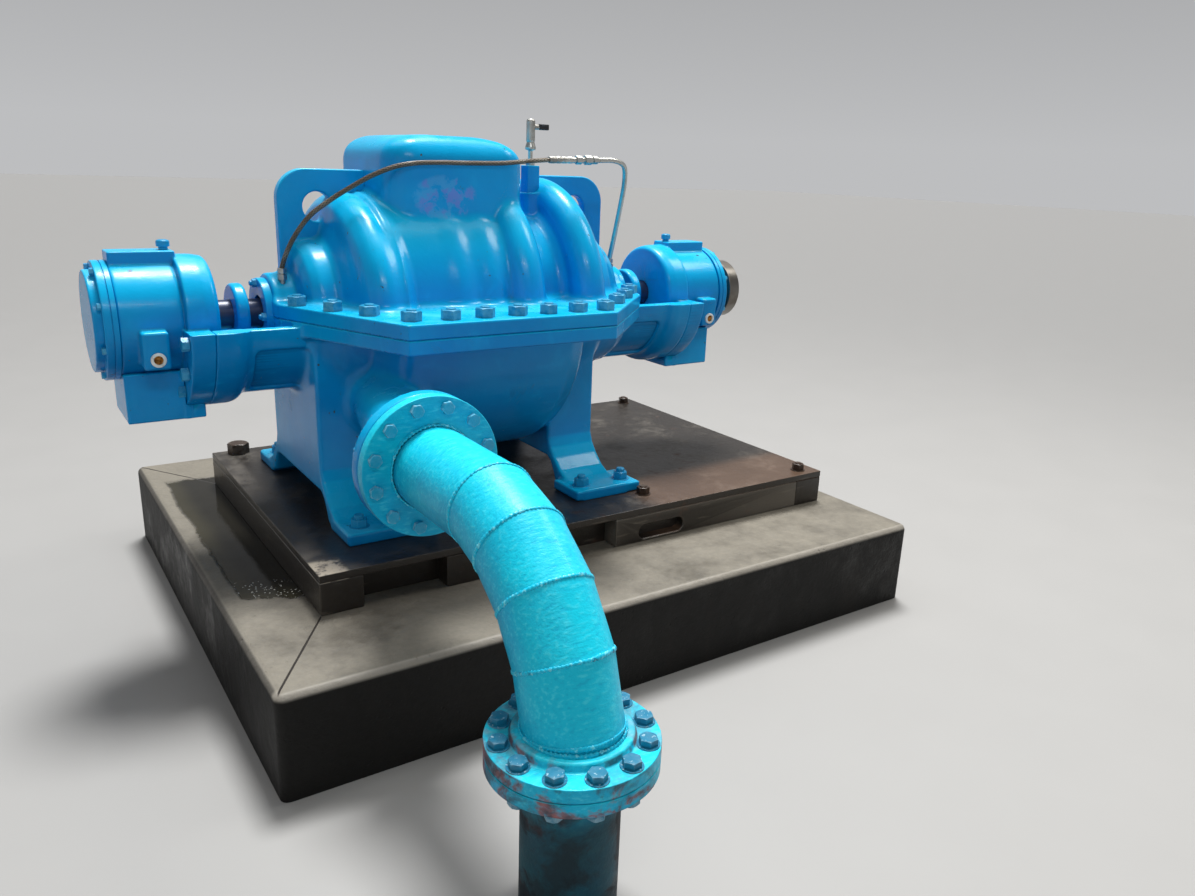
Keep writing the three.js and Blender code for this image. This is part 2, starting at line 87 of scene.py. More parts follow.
camera = in_scene("camera", bpy.data.cameras.new("camera"))
turned_so = Matrix((right, -down, -ahead)).transposed().to_4x4()
camera.matrix_world = Matrix.Translation(stand) @ turned_so
camera.data.lens = 27.857
camera.data.sensor_width = 36.0
bpy.context.scene.camera = camera

# %% [markdown]
# Glossy enamel shows the room it stands in, so the studio is made of large soft panels: a key
# from the upper right, a broad one overhead, a weak fill from the front left, and a narrow strip
# that draws a line of light along the rings. The view transform stays "Standard": the softer
# ones wash out strong blues like these.

# %% Studio lights
def lamp(name, kind, energy, towards):
    """A light whose rays run in the given direction."""
    light = in_scene(name, bpy.data.lights.new(name, kind))
    light.data.energy = energy
    light.rotation_mode = "QUATERNION"
    light.rotation_quaternion = towards.to_track_quat("-Z", "Y")
    return light


def panel(name, at, target, size, watts, tint=(1.0, 1.0, 1.0)):
    light = lamp(name, "AREA", watts, Vector(target) - Vector(at))
    light.location = at
    light.data.shape = "RECTANGLE"
    light.data.size, light.data.size_y = size
    light.data.color = tint


panel("key", (3.4, -1.0, 4.8), (0.1, -0.4, 0.8), (1.5, 1.5), 85, (1.0, 0.97, 0.92))
panel("overhead", (0.2, 0.8, 5.2), (0.0, -0.2, 0.6), (4.6, 3.2), 90)
panel("fill", (-4.6, -3.6, 2.6), (-0.2, -0.4, 0.8), (3.0, 2.4), 9, (0.92, 0.96, 1.0))
panel("strip", (-1.4, -4.2, 4.4), (-0.2, -0.4, 1.1), (2.6, 0.22), 42)
sun = lamp("soft_sun", "SUN", 4.0, Vector((-0.20, -0.28, -0.94)))
sun.data.angle = math.radians(16)
bpy.context.scene.view_settings.view_transform = "Standard"

# %% [markdown]
# The soft sun above also lights the floor far away, where no panel reaches. The world is palest
# at the horizon and darkens upwards, so floor and backdrop meet without an edge.

# %% World
world = bpy.data.worlds.new("room")
world.use_nodes = True
tree = world.node_tree
way = tree.nodes.new("ShaderNodeTexCoord")
height = tree.nodes.new("ShaderNodeSeparateXYZ")
band = tree.nodes.new("ShaderNodeMapRange")
for socket, value in (("From Min", 0.03), ("From Max", 0.62), ("To Min", 0.525), ("To Max", 0.10)):
    band.inputs[socket].default_value = value
tree.links.new(way.outputs["Generated"], height.inputs[0])
tree.links.new(height.outputs["Z"], band.inputs["Value"])
tree.links.new(band.outputs["Result"], tree.nodes["Background"].inputs["Strength"])
tree.nodes["Background"].inputs["Color"].default_value = (0.97, 0.98, 1.0, 1.0)
bpy.context.scene.world = world

# %% [markdown]
# Materials are small sums: a mask times a colour, a noise plus another noise. Clicking nodes
# together would hide that, so a finish is written as Python expressions. A Wire stands for one
# socket, and arithmetic on it adds Math nodes. Colours go through Mix nodes instead.

# %% Wires: shader maths as Python expressions
def linear(colour, darker=1.0):
    """Six hexadecimal digits as Blender wants a colour: linear, with alpha. Others pass."""
    if not isinstance(colour, str):
        return colour
    parts = [int(colour[i:i + 2], 16) / 255 for i in (0, 2, 4)]
    parts = [p / 12.92 if p <= 0.04045 else ((p + 0.055) / 1.055) ** 2.4 for p in parts]
    return tuple(darker * p for p in parts) + (1.0,)


class Wire:
    """One output socket of a finish."""

    def __init__(self, finish, socket):
        self.finish, self.socket = finish, socket

    def maths(self, operation, *terms):
        return self.finish.add("ShaderNodeMath", {"operation": operation}, dict(enumerate(terms)))

    def __add__(self, other): return self.maths("ADD", self, other)
    def __radd__(self, other): return self.maths("ADD", other, self)
    def __sub__(self, other): return self.maths("SUBTRACT", self, other)
    def __rsub__(self, other): return self.maths("SUBTRACT", other, self)
    def __mul__(self, other): return self.maths("MULTIPLY", self, other)
    def __rmul__(self, other): return self.maths("MULTIPLY", other, self)
    def __or__(self, other): return self.maths("MAXIMUM", self, other)
    def __abs__(self): return self.maths("ABSOLUTE", self)
    def sine(self): return self.maths("SINE", self)

    def above(self, low, high):
        """A mask: 0 below low, 1 above high, and a smooth step between them."""
        settings = {"interpolation_type": "SMOOTHSTEP", "clamp": True}
        sockets = {0: self, 1: low, 2: high, 3: 0.0, 4: 1.0}
        return self.finish.add("ShaderNodeMapRange", settings, sockets)

    def below(self, low, high):
        return 1 - self.above(low, high)

    def colours(self, a, b):
        """Colour a where this mask is 0, and colour b where it is 1."""
        settings = {"data_type": "RGBA", "clamp_factor": True}
        sockets = {0: self, 6: linear(a), 7: linear(b)}
        return self.finish.add("ShaderNodeMix", settings, sockets, out=2)


class Finish:
    """A material in the making. Its maths can read the place and the direction of the surface."""

    def __init__(self, name, **shader):
        self.material = bpy.data.materials.new(name)
        self.material.use_nodes = True
        self.tree = self.material.node_tree
        self.shader = self.tree.nodes["Principled BSDF"]
        for socket, value in shader.items():
            self.shader.inputs[socket.replace("_", " ")].default_value = value
        self.place = self.add("ShaderNodeTexCoord", out="Object")
        self.x, self.y, self.z = self.split(self.place)
        self.up = self.split(self.add("ShaderNodeNewGeometry", out="Normal"))[2]

    def add(self, kind, settings=None, sockets=None, out=0):
        """Adds a node: its type, its settings, and the values or wires of its sockets."""
        node = self.tree.nodes.new(kind)
        for key, value in (settings or {}).items():
            setattr(node, key, value)
        for key, value in (sockets or {}).items():
            if isinstance(value, Wire):
                self.tree.links.new(value.socket, node.inputs[key])
            else:
                node.inputs[key].default_value = value
        return Wire(self, node.outputs[out])

    def split(self, vector):
        node = self.add("ShaderNodeSeparateXYZ", None, {0: vector}).socket.node
        return [Wire(self, node.outputs[i]) for i in range(3)]

    def noise(self, scale, detail=3.0, rough=0.55, warp=0.0, stretch=None):
        """A noise of so many bumps a metre; stretch scales each axis by itself, for streaks."""
        place = self.place
        if stretch:
            place = self.add("ShaderNodeVectorMath", {"operation": "MULTIPLY"},
                             {0: place, 1: stretch})
        sockets = {"Vector": place, "Scale": scale, "Detail": detail}
        sockets.update({"Roughness": rough, "Distortion": warp})
        return self.add("ShaderNodeTexNoise", None, sockets)

    def cells(self, scale):
        """The distance to the nearest of many scattered points."""
        return self.add("ShaderNodeTexVoronoi", None, {"Vector": self.place, "Scale": scale})

    def wear(self):
        """High on worn convex edges, low in corners."""
        return self.add("ShaderNodeNewGeometry", out="Pointiness")

    def ground(self, mask, a, b):
        """The first coat: colour a where the mask is 0, and b where it is 1."""
        self.colour = mask.colours(a, b)

    def paint(self, mask, colour, strength=1.0):
        """A further coat, as far as the mask and the strength let it cover."""
        self.colour = (mask if strength == 1.0 else mask * strength).colours(self.colour, colour)

    def set(self, socket, wire):
        self.tree.links.new(wire.socket, self.shader.inputs[socket])

    def finished(self, rough, *layers):
        """The material. Each layer of relief is a height and its depth in metres."""
        self.set("Base Color", self.colour)
        self.set("Roughness", rough)
        relief = {"Strength": 1.0}
        for height, depth in layers:
            bump = self.add("ShaderNodeBump", None, {**relief, "Height": height, "Distance": depth})
            relief["Normal"] = bump
        if layers:
            self.set("Normal", bump)
        return self.material


print("a finish starts with", len(Finish("trial").tree.nodes), "nodes")
bpy.data.materials.remove(bpy.data.materials["trial"])

# %% [markdown]
# The pump's enamel is thick gloss paint, brushed over old castings. Real enamel isn't one blue: it
# thins on edges, collects dust where it faces up, and shows orange peel under a light. Light and
# shade are painted into it as well. Upward faces and the dust are paler cyan, as painted light.
# Downward faces and corners are darker, as painted shade. The dome's front has a violet painted
# reflection. An image could hold that, but noises stay sharp at any distance.

# %% Pump enamel
def violet_reflection_mask(f):
    """The violet painted reflection in the middle of the dome's front."""
    aside, aloft = (f.x + 0.148) * 7.5, (f.z - 1.455) * 12.0
    front = f.y.below(-0.235, -0.21)
    patch = (aside * aside + aloft * aloft).below(0.15, 1.0) * front
    return (patch * f.noise(17.0, 6.0, 0.65, warp=0.3).above(0.36, 0.62)).above(0.12, 0.6)


def plug_hole_shade_mask(f):
    """The plug hole above the sight glass of each bearing housing: its dark is painted shade."""
    distance = abs(abs(f.x) - 1.0596) + abs(f.y + 0.0816) + abs(f.z - 1.2314)
    return distance.below(0.007, 0.010)


def gloss_enamel():
    f = Finish("pump_enamel", Coat_Weight=0.06, Coat_Roughness=0.05, IOR=1.28)
    f.ground(f.noise(1.9, 4.0, warp=0.6).above(0.33, 0.68), "029ad8", "0284c8")
    # Painted light: faces that look up are paler cyan.
    f.paint(f.up.above(0.05, 0.85), "14c6ee", 0.6)
    # Painted shade: faces that look down are darker.
    f.paint(f.up.below(-0.75, 0.05), "045c9c", 0.55)
    f.paint(f.noise(1.0, 3.0, stretch=(14.0, 60.0, 9.0)).above(0.55, 0.8), "1ab8ee", 0.2)
    # Painted shade: corners and creases, where the surface is least pointed, are darker.
    f.paint(f.wear().below(0.44, 0.495), linear("0284c8", darker=0.45), 0.55)
    # Dust on upward faces, tinted pale cyan as painted light on the tops.
    dust_and_painted_light = f.up.above(0.5, 0.98) * f.noise(7.0, 5.0).above(0.42, 0.75)
    f.paint(dust_and_painted_light, "8fe0ea", 0.14)
    grime = f.noise(5.0, 6.0, 0.7, warp=1.0).above(0.6, 0.74) * f.up.below(-0.2, 0.6)
    f.paint(grime, "0a2c40", 0.3)
    chip = f.noise(46.0, 3.0).above(0.71, 0.73) * f.noise(3.1, 2.0).above(0.5, 0.6)
    f.paint(chip, "31423f")
    painted_reflection, plug_hole_shade = violet_reflection_mask(f), plug_hole_shade_mask(f)
    # A painted reflection: a violet and pale blue patch on the dome's front, also made rougher.
    f.paint(painted_reflection, f.noise(13.0).above(0.46, 0.54).colours("9070c8", "58a4d8"), 0.42)
    # Painted shade: the plug hole is painted dark navy and pressed in a little.
    f.paint(plug_hole_shade, "14303e", 0.85)
    rough = 0.15 + 0.16 * f.noise(9.0, 4.0) + 0.3 * dust_and_painted_light + 0.25 * grime + 0.3 * chip + 0.2 * painted_reflection
    orange_peel = (f.noise(150.0, 2.0), 0.00028)
    return f.finished(rough, (f.noise(17.0, 4.0), 0.0013), orange_peel, (1 - chip - plug_hole_shade, 0.0004))


pump_enamel = gloss_enamel()

# %% [markdown]
# The pipework was painted a brighter, greener blue, with a brush whose marks run round the pipe.
# Its top is painted paler as light and its underside darker as shade, where some dirt of the work
# lies too. Both are masks on the direction the surface faces. The lower flanges kept patches of
# red-oxide primer, and the riser is painted dark below its flange, darkest towards the floor, as
# shadow.

# %% Pipe enamel
def pipe_enamel(name, primer=False):
    f = Finish(name, Coat_Weight=0.06, Coat_Roughness=0.12, IOR=1.3)
    f.ground(f.noise(3.2, 4.0, warp=0.5).above(0.35, 0.7), "04c2e0", "04aad6")
    # Painted light: faces that look up are paler.
    f.paint(f.up.above(0.1, 0.9), "26e2f2", 0.5)
    strokes = f.noise(1.0, 4.0, stretch=(34.0, 120.0, 120.0))
    f.paint(strokes.above(0.5, 0.72), "5ae6f4", 0.4)
    f.paint(strokes.below(0.28, 0.46), "0496c6", 0.4)
    underside = f.up.below(-0.8, 0.2)
    dirt = underside * f.noise(8.0, 6.0, 0.65).above(0.3, 0.62)
    # Painted shade: faces that look down are darker. The dirt mask adds real dirt in patches there.
    f.paint(underside, "0474ac", 0.6)
    f.paint(dirt, "14506a", 0.3)
    rough = 0.3 + 0.18 * f.noise(14.0, 4.0) + 0.2 * dirt
    if primer:
        sides = 0.35 + 0.5 * f.up.below(0.25, 0.75)
        oxide = f.noise(8.5, 6.0, 0.62, warp=0.4).above(0.50, 0.60) * sides
        f.paint(oxide, f.noise(34.0, 5.0).above(0.35, 0.65).colours("5e2f2c", "a4503c"))
        f.paint(f.noise(9.0, 6.0, 0.65, warp=0.4).above(0.44, 0.62) * sides, "33424e")
        # Painted shadow: the riser is darker the lower it is, up to the flange.
        painted_shadow = f.z.below(0.25, 0.392) * (0.82 + 0.16 * f.noise(12.0, 5.0))
        f.paint(painted_shadow, "15262c")
        rough = rough + 0.3 * oxide + 0.2 * painted_shadow
    grain = (f.noise(190.0, 2.0), 0.0005)
    return f.finished(rough, (strokes, 0.0011), grain, (f.noise(22.0, 3.0), 0.0014))


def weld_paint():
    """Paint on a weld: it misses the gaps between drops and is rubbed pale on their tops."""
    f = Finish("weld_paint", Coat_Weight=0.08, Specular_IOR_Level=0.3)
    missed = f.noise(30.0, 5.0, 0.6).above(0.57, 0.66)
    f.ground(missed, "10bcdc", "0a7696")
    f.paint(f.noise(70.0, 4.0, 0.6).above(0.55, 0.62), "8ce6f0", 0.6)
    return f.finished(0.32 + 0.2 * missed, (f.noise(160.0, 3.0), 0.0008))


cyan_enamel = pipe_enamel("cyan_enamel")
primed_enamel = pipe_enamel("primed_enamel", primer=True)
weld_enamel = weld_paint()

# %% [markdown]
# The plinth is floor concrete, dark with years of oil. Its top is paler than its sides, and the
# rounded nosing is worn smooth and painted pale as a highlight, mostly at the front. A puddle of
# oil lies along the free end, with bubbles near its front edge, and mitre joints run from the
# corners to the base frame.
# Everything is placed with masks on x, y and z.

# %% Oily concrete
def oil_puddle(f, top):
    """The puddle, its thick part and the bubbles, as masks."""
    wobble = 0.05 * (f.noise(3.4, 4.0) - 0.5) + 0.022 * (f.noise(19.0, 6.0, 0.65) - 0.5)
    front = f.y + 0.47 + 0.5 * (f.x + 0.90) + 5.0 * wobble
    oil = (f.x + 0.912 + wobble).above(-0.004, 0.010) * f.x.below(-0.70, -0.68) * top
    oil = oil * front.above(-0.006, 0.024) * (f.y - 0.74 + 6.0 * wobble).below(-0.03, 0.05)
    thick = (f.x + 0.90 + wobble).above(0.0, 0.07) * front.above(0.0, 0.16)
    bubbles = f.cells(105.0).below(0.20, 0.28) * f.noise(23.0).above(0.43, 0.52)
    return oil, thick, bubbles * abs(front - 0.07).below(0.05, 0.10) * oil


def oily_concrete():
    f = Finish("oily_concrete", Specular_IOR_Level=0.22)
    grain = f.noise(55.0, 8.0, 0.75)
    f.ground(grain, "0c0c0b", "1b1a18")
    f.paint(f.noise(1.0, 5.0, stretch=(5.0, 5.0, 1.2)).above(0.52, 0.75), "2a2723", 0.4)
    top = f.up.above(0.75, 0.97)
    blotch = f.noise(2.1, 7.0, 0.7, warp=0.15)
    worn = blotch.above(0.42, 0.74) * (0.55 + 0.5 * f.noise(9.0, 6.0, 0.7))
    f.paint(top, worn.colours(grain.colours("726d64", "938d7f"), "4a463f"))
    # Painted highlight: the rounded nosing is painted pale, mostly at the front.
    nosing = f.up.above(0.12, 0.5) * f.up.below(0.9, 0.99) * (0.35 + 0.65 * f.y.below(-0.99, -0.97))
    nosing = nosing * (0.6 + 0.5 * f.noise(6.0, 6.0, 0.7))
    f.paint(nosing, "a39d92", 0.9)
    oil, thick, bubbles = oil_puddle(f, top)
    f.paint(oil, thick.colours("302d1f", "100f09"), 0.94)
    f.paint(bubbles, "d8d8d0")
    from_seam = abs(0.843 * (f.x + 0.970) + 0.538 * (abs(f.y) - 1.020))
    seam = from_seam.below(0.0015, 0.0035) * top * f.x.below(-0.742, -0.738)
    f.paint(seam, "2b2622")
    rough = 0.66 - 0.26 * blotch.above(0.5, 0.66) - 0.22 * nosing - 0.12 * f.noise(20.0)
    pits = f.cells(38.0).below(0.10, 0.22) * f.noise(9.0).above(0.5, 0.62)
    dry = 1 - 0.9 * oil
    return f.finished(rough * (1 - oil) + 0.05 * oil, (f.noise(6.0, 6.0, 0.6) * dry, 0.012),
                      (grain * dry, 0.0018), (1 - pits * dry, 0.002), (1 - seam, 0.004))


concrete = oily_concrete()

# %% [markdown]
# The base frame is steel under old black paint and oil: glossy where oil lies, matt and brown
# where dust has stuck to it or boots have trodden, bare at the front left corner, and with pale
# scuffs along its upper edges.

# %% Oily steel
def oily_steel():
    f = Finish("oily_steel")
    blotch = f.noise(6.5, 9.0, 0.78, warp=0.1)
    fine = f.noise(48.0, 6.0, 0.7)
    f.ground(fine, "1a1613", "302a24")
    top = f.up.above(0.3, 0.9)
    streak = abs(f.x + 0.715).below(0.02, 0.06) * f.noise(5.0, 7.0, 0.7).above(0.38, 0.6)
    dusty = blotch.above(0.46, 0.76) * top | streak * top
    f.paint(dusty, "756e63", 0.4)
    trodden = f.x.above(0.40, 0.52) * f.y.below(-0.44, -0.34) * (0.5 + 0.5 * blotch)
    f.paint(trodden * top, "6b5240", 0.75)
    corner = f.x.below(-0.665, -0.645) * f.y.below(-0.57, -0.545)
    f.paint(corner * top * f.noise(15.0, 6.0, 0.7).above(0.38, 0.5), "b0a491", 0.85)
    rust = f.noise(11.0, 6.0, 0.7).above(0.6, 0.72)
    f.paint(rust, "4f3322", 0.5)
    scuff = f.noise(1.0, 5.0, stretch=(7.0, 7.0, 60.0)).above(0.62, 0.7)
    f.paint(scuff * f.up.below(0.5, 0.9), "5d564c", 0.5)
    f.paint(f.wear().above(0.52, 0.6), "8d867b", 0.6)
    rough = 0.24 + 0.34 * dusty + 0.22 * rust + 0.15 * fine
    return f.finished(rough, (blotch, 0.003), (fine, 0.0009))


steel_frame = oily_steel()

# %% [markdown]
# The rest are small finishes. Turned steel has fine rings from the lathe, and on the shaft
# blue overspray covers the stretch that shows beside the seals, painted dark navy as shade.

# %% Steel finishes
def turned_steel(name, tint, rough):
    f = Finish(name, Metallic=1.0)
    rings = f.noise(1.0, 2.0, stretch=(420.0, 6.0, 6.0))
    stain = f.noise(9.0, 5.0).above(0.5, 0.72)
    f.ground(0.5 * stain, tint, "4e4034")
    return f.finished(rough + 0.14 * rings + 0.2 * stain, (rings, 0.00025))


def painted_shaft():
    f = Finish("painted_shaft")
    rings = f.noise(1.0, 2.0, stretch=(420.0, 6.0, 6.0))
    # Blue overspray beside the seals, painted dark navy as shade, and not metal there.
    shaded_overspray = abs(f.x).below(0.86, 0.90) * (0.8 + 0.2 * f.noise(20.0))
    f.ground(shaded_overspray, "77746f", "0b2a50")
    f.set("Metallic", 1 - shaded_overspray)
    return f.finished(0.28 + 0.14 * rings, (rings, 0.00025))


shaft_steel = turned_steel("shaft_steel", "77746f", 0.28)
zinc = turned_steel("zinc_plate", "b9bab6", 0.3)
shaft_paint = painted_shaft()

# %% [markdown]
# The hose is braided: two sets of strands cross over each other, which is the greater of two
# sines, one for each way round. The sight glass, its ring, the gaskets and the grip of the
# vent's handle differ only in a grain and in their two colours.

# %% Hose, gaskets and trim
def hose_cover():
    f = Finish("hose_cover", Coat_Weight=0.15, Coat_Roughness=0.2)
    around = f.add("ShaderNodeAttribute", {"attribute_name": "around"}, out="Fac") * 6.0
    along = f.add("ShaderNodeAttribute", {"attribute_name": "along"}, out="Fac") * 420.0
    braid = (around + along).sine() | (around - along).sine()
    worn = f.noise(12.0, 5.0).above(0.42, 0.7)
    f.ground(braid.above(-0.4, 0.6), "2e261d", worn.colours("5d4d3a", "8d8270"))
    return f.finished(0.42 - 0.12 * worn, (braid, 0.0007))


def sight_brass():
    f = Finish("sight_brass", Metallic=1.0)
    stain = f.noise(90.0, 4.0).above(0.4, 0.7)
    f.ground(stain, "b07a3e", "6b4320")
    return f.finished(0.25 + 0.3 * stain, (stain, 0.0003))


def trim(name, grain, a, b, rough, rougher, depth, patches=None, **shader):
    """A grain between two colours, in clear patches where two limits are given."""
    f = Finish(name, **shader)
    noise = f.noise(*grain)
    f.ground(noise.above(*patches) if patches else noise, a, b)
    return f.finished(rough + rougher * noise, (noise, depth))


hose_braid = hose_cover()
brass = sight_brass()
ring_white = trim("white_ring", (40.0, 4.0), "dfe3df", "a9b0ae", 0.3, 0.2, 0.0003, (0.45, 0.7),
                  Coat_Weight=0.3)
handle_grip = trim("handle_grip", (70.0, 4.0), "0d1016", "2a323c", 0.35, 0.3, 0.0005, (0.45, 0.7))
gasket_sheet = trim("gasket_fibre", (240.0,), "1c1b1a", "3c3833", 0.72, 0.2, 0.0004)

# %% [markdown]
# Bolts were painted over with the rest, and spanners have knocked the paint off again: it is
# rubbed down on the edges and flecked on top.

# %% Painted bolts
def painted_bolt(name, paint, shown):
    f = Finish(name, Coat_Weight=0.08, Coat_Roughness=0.15, Specular_IOR_Level=0.35)
    f.ground(f.noise(25.0, 4.0), paint, linear(paint, darker=0.72))
    rubbed = f.wear().above(0.52, 0.62) * f.noise(60.0, 4.0).above(0.35, 0.6)
    flecks = f.noise(130.0, 3.0).above(0.62, 0.66) * f.up.above(0.1, 0.8)
    f.paint(flecks * 0.5 | rubbed * 0.35, shown)
    rough = 0.3 + 0.25 * rubbed + 0.12 * f.noise(50.0)
    return f.finished(rough, (f.noise(90.0, 3.0), 0.0008))


pump_bolt = painted_bolt("pump_bolt", "0797cc", "7cc6dc")
joint_bolt = painted_bolt("joint_bolt", "0692c0", "7fc3d2")
pipe_bolt = painted_bolt("pipe_bolt", "12a7cf", "d5ecec")
flange_bolt = painted_bolt("flange_bolt", "1b7c9e", "cfe6ea")
bare_bolt = painted_bolt("bare_bolt", "3c2b20", "8a7f70")
print(len(bpy.data.materials), "materials")

# %% [markdown]
# Pieces share a few helpers. Each one is put on its body, takes its finish, and says which CAD
# solid it stands for. The solid stays as it is for collision.


def put(name, mesh, finish, node=None, body="pump_body", bevelled=False):
    """Bevelled pieces keep flat shading between their rounded edges."""
    piece = in_scene(name, mesh)
    if not mesh.materials:
        mesh.materials.append(finish)
    if bevelled:
        piece.modifiers.new("flat_faces", "WEIGHTED_NORMAL").keep_sharp = True
    if node:
        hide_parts(node)
    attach(piece, body)
    return piece


def mirrored(mesh):
    """The same mesh on the other side of x = 0, its faces turned to keep looking out."""
    copy = mesh.copy()
    copy.transform(Matrix.Scale(-1, 4, (1, 0, 0)))
    copy.flip_normals()
    return copy


def put_at_both_ends(name, mesh, finish, node, **more):
    """A mesh made for the free end, and its mirror image at the drive end."""
    put(f"{name}_free_end", mesh, finish, f"{node}_free_end", **more)
    put(f"{name}_drive_end", mirrored(mesh), finish, f"{node}_drive_end", **more)


# %% [markdown]
# Meshes are made of plain arrays of points and faces, and Blender's bmesh edits them where that
# is shorter: it merges doubled points, closes rims and bevels edges.

# %% Meshes from points and faces
def smooth(mesh, sharp=None):
    """Shades smooth, with a crease where two faces meet at more than sharp degrees."""
    mesh.polygons.foreach_set("use_smooth", np.ones(len(mesh.polygons), bool))
    if sharp:
        mesh.set_sharp_from_angle(angle=math.radians(sharp))
    return mesh


def mesh_of(name, points, faces, sharp=None):
    mesh = bpy.data.meshes.new(name)
    points, faces = np.asarray(points, np.float32), np.asarray(faces, np.int32)
    mesh.vertices.add(len(points))
    mesh.vertices.foreach_set("co", points.ravel())
    mesh.loops.add(faces.size)
    mesh.loops.foreach_set("vertex_index", faces.ravel())
    mesh.polygons.add(len(faces))
    starts = np.arange(0, faces.size, faces.shape[1], dtype=np.int32)
    mesh.polygons.foreach_set("loop_start", starts)
    mesh.update(calc_edges=True)
    smooth(mesh, sharp).validate()
    return mesh


def quads_between(rings, sides, closed=False):
    """The faces between rings of points that are numbered one whole ring after another."""
    here = np.arange(rings if closed else rings - 1)[:, None] * sides
    there = (here + sides) % (rings * sides)
    i, j = np.arange(sides), (np.arange(sides) + 1) % sides
    return np.stack([here + i, here + j, there + j, there + i], -1).reshape(-1, 4)


@contextmanager
def editing(mesh):
    """Opens a mesh for bmesh operations, and writes it back."""
    work = bmesh.new()
    work.from_mesh(mesh)
    yield work
    work.to_mesh(mesh)
    work.free()


def joined(name, meshes, sharp=None):
    """One mesh out of several: doubled points are merged, and open rims get flat lids."""
    whole = bpy.data.meshes.new(name)
    with editing(whole) as work:
        for mesh in meshes:
            work.from_mesh(mesh)
            bpy.data.meshes.remove(mesh)
        bmesh.ops.remove_doubles(work, verts=work.verts, dist=1e-6)
        bmesh.ops.holes_fill(work, edges=[e for e in work.edges if e.is_boundary], sides=0)
    return smooth(whole, sharp)


# %% [markdown]
# Turned parts are half sections spun round an axis. A lathe never leaves a knife edge, and paint
# rounds it further, so every corner of a section gets a small arc before it is spun. A corner
# with a third number has a radius of its own.

# %% Turned parts
SHAFT_HEIGHT = 1.08
AXES = {"x": np.eye(3), "y": np.roll(np.eye(3), -1, 0), "z": np.roll(np.eye(3), -2, 0)}


def rounded(section, radius):
    """The section with a short arc in place of each corner, where both sides are long enough."""
    points = [np.array(p[:2], float) for p in section]
    radii = [p[2] if len(p) > 2 else radius for p in section]
    out = [points[0]]
    for before, corner, after, r in zip(points, points[1:], points[2:], radii[1:-1]):
        back, forth = before - corner, after - corner
        reach = min(r, 0.45 * np.linalg.norm(back), 0.45 * np.linalg.norm(forth))
        a = corner + back / np.linalg.norm(back) * reach
        b = corner + forth / np.linalg.norm(forth) * reach
        for t in (0.0, 0.33, 0.67, 1.0) if reach > 1e-5 else (0.5,):
            out.append((1 - t) ** 2 * a + 2 * t * (1 - t) * corner + t * t * b)
    return out + [points[-1]]


def circle(steps):
    return np.linspace(0, 2 * math.pi, steps, endpoint=False)


def spun(name, section, axis="x", at=(0.0, 0.0, SHAFT_HEIGHT), radius=0.0015, steps=96):
    """Spins a section of (place along the axis, distance from it) points."""
    along, u, v = AXES[axis]
    line, turn = np.array(rounded(section, radius)), circle(steps)
    spokes = np.cos(turn)[:, None] * u + np.sin(turn)[:, None] * v
    points = line[:, None, :1] * along + line[:, None, 1:] * spokes + np.array(at)
    mesh = mesh_of(name, points.reshape(-1, 3), quads_between(len(line), steps))
    with editing(mesh) as work:
        bmesh.ops.remove_doubles(work, verts=work.verts, dist=1e-6)
        bmesh.ops.recalc_face_normals(work, faces=work.faces)
    return smooth(mesh, 38)


# %% [markdown]
# A casting has no sharp corner anywhere: every wall runs into the next with a fillet, because
# molten iron would crack at a sharp one. Bevelled boxes can't give that. Here a casting is
# described by a distance function, negative inside the iron. The smooth minimum of two
# distances joins two bodies with a fillet, and one skin is then laid over the result.

# %% Distances
def smooth_union(a, b, fillet):
    h = np.clip(0.5 + 0.5 * (b - a) / fillet, 0, 1)
    return b + (a - b) * h - fillet * h * (1 - h)


def cut_from(a, b, fillet=0.004):
    return -smooth_union(-a, b, fillet)


def inner_corner(u, v, edge):
    """The part of a body that lies inside two walls, with a rounded edge where they meet."""
    return np.hypot(np.maximum(u, 0), np.maximum(v, 0)) + np.minimum(np.maximum(u, v), 0) - edge


def block_at(p, low, high, edge):
    """A box with rounded edges."""
    q = [abs(c - (l + h) / 2) - (h - l) / 2 + edge for c, l, h in zip(p, low, high)]
    outside = np.sqrt(sum(np.maximum(c, 0) ** 2 for c in q))
    return outside + np.minimum(np.maximum(np.maximum(q[0], q[1]), q[2]), 0) - edge


def capped(across, low, high, place, edge):
    """A body of any cross-section, cut off square at two places, with rounded rims."""
    beyond = abs(place - (low + high) / 2) - (high - low) / 2
    return inner_corner(across + edge, beyond + edge, edge)


def outline_distance(corners, u, v):
    """Signed distance to a flat closed outline."""
    inside, nearest = np.zeros(u.shape, bool), np.full(u.shape, 1e9)
    for (u0, v0), (u1, v1) in zip(corners, corners[1:] + corners[:1]):
        du, dv = u1 - u0, v1 - v0
        t = np.clip(((u - u0) * du + (v - v0) * dv) / (du * du + dv * dv), 0, 1)
        nearest = np.minimum(nearest, (u - u0 - t * du) ** 2 + (v - v0 - t * dv) ** 2)
        if dv:
            inside ^= ((v0 > v) != (v1 > v)) & (u < du * (v - v0) / dv + u0)
    return np.where(inside, -1, 1) * np.sqrt(nearest)


def off_shaft(p):
    """How far points lie from the shaft's axis."""
    return np.hypot(p[1], p[2] - SHAFT_HEIGHT)


# %% [markdown]
# A body turned about the shaft has the same half section all round. Its distance is worked out
# once, in a table of 3 mm cells, and a swell is one circle joined to the outline. Blurring the
# table rounds every corner of the section at once.

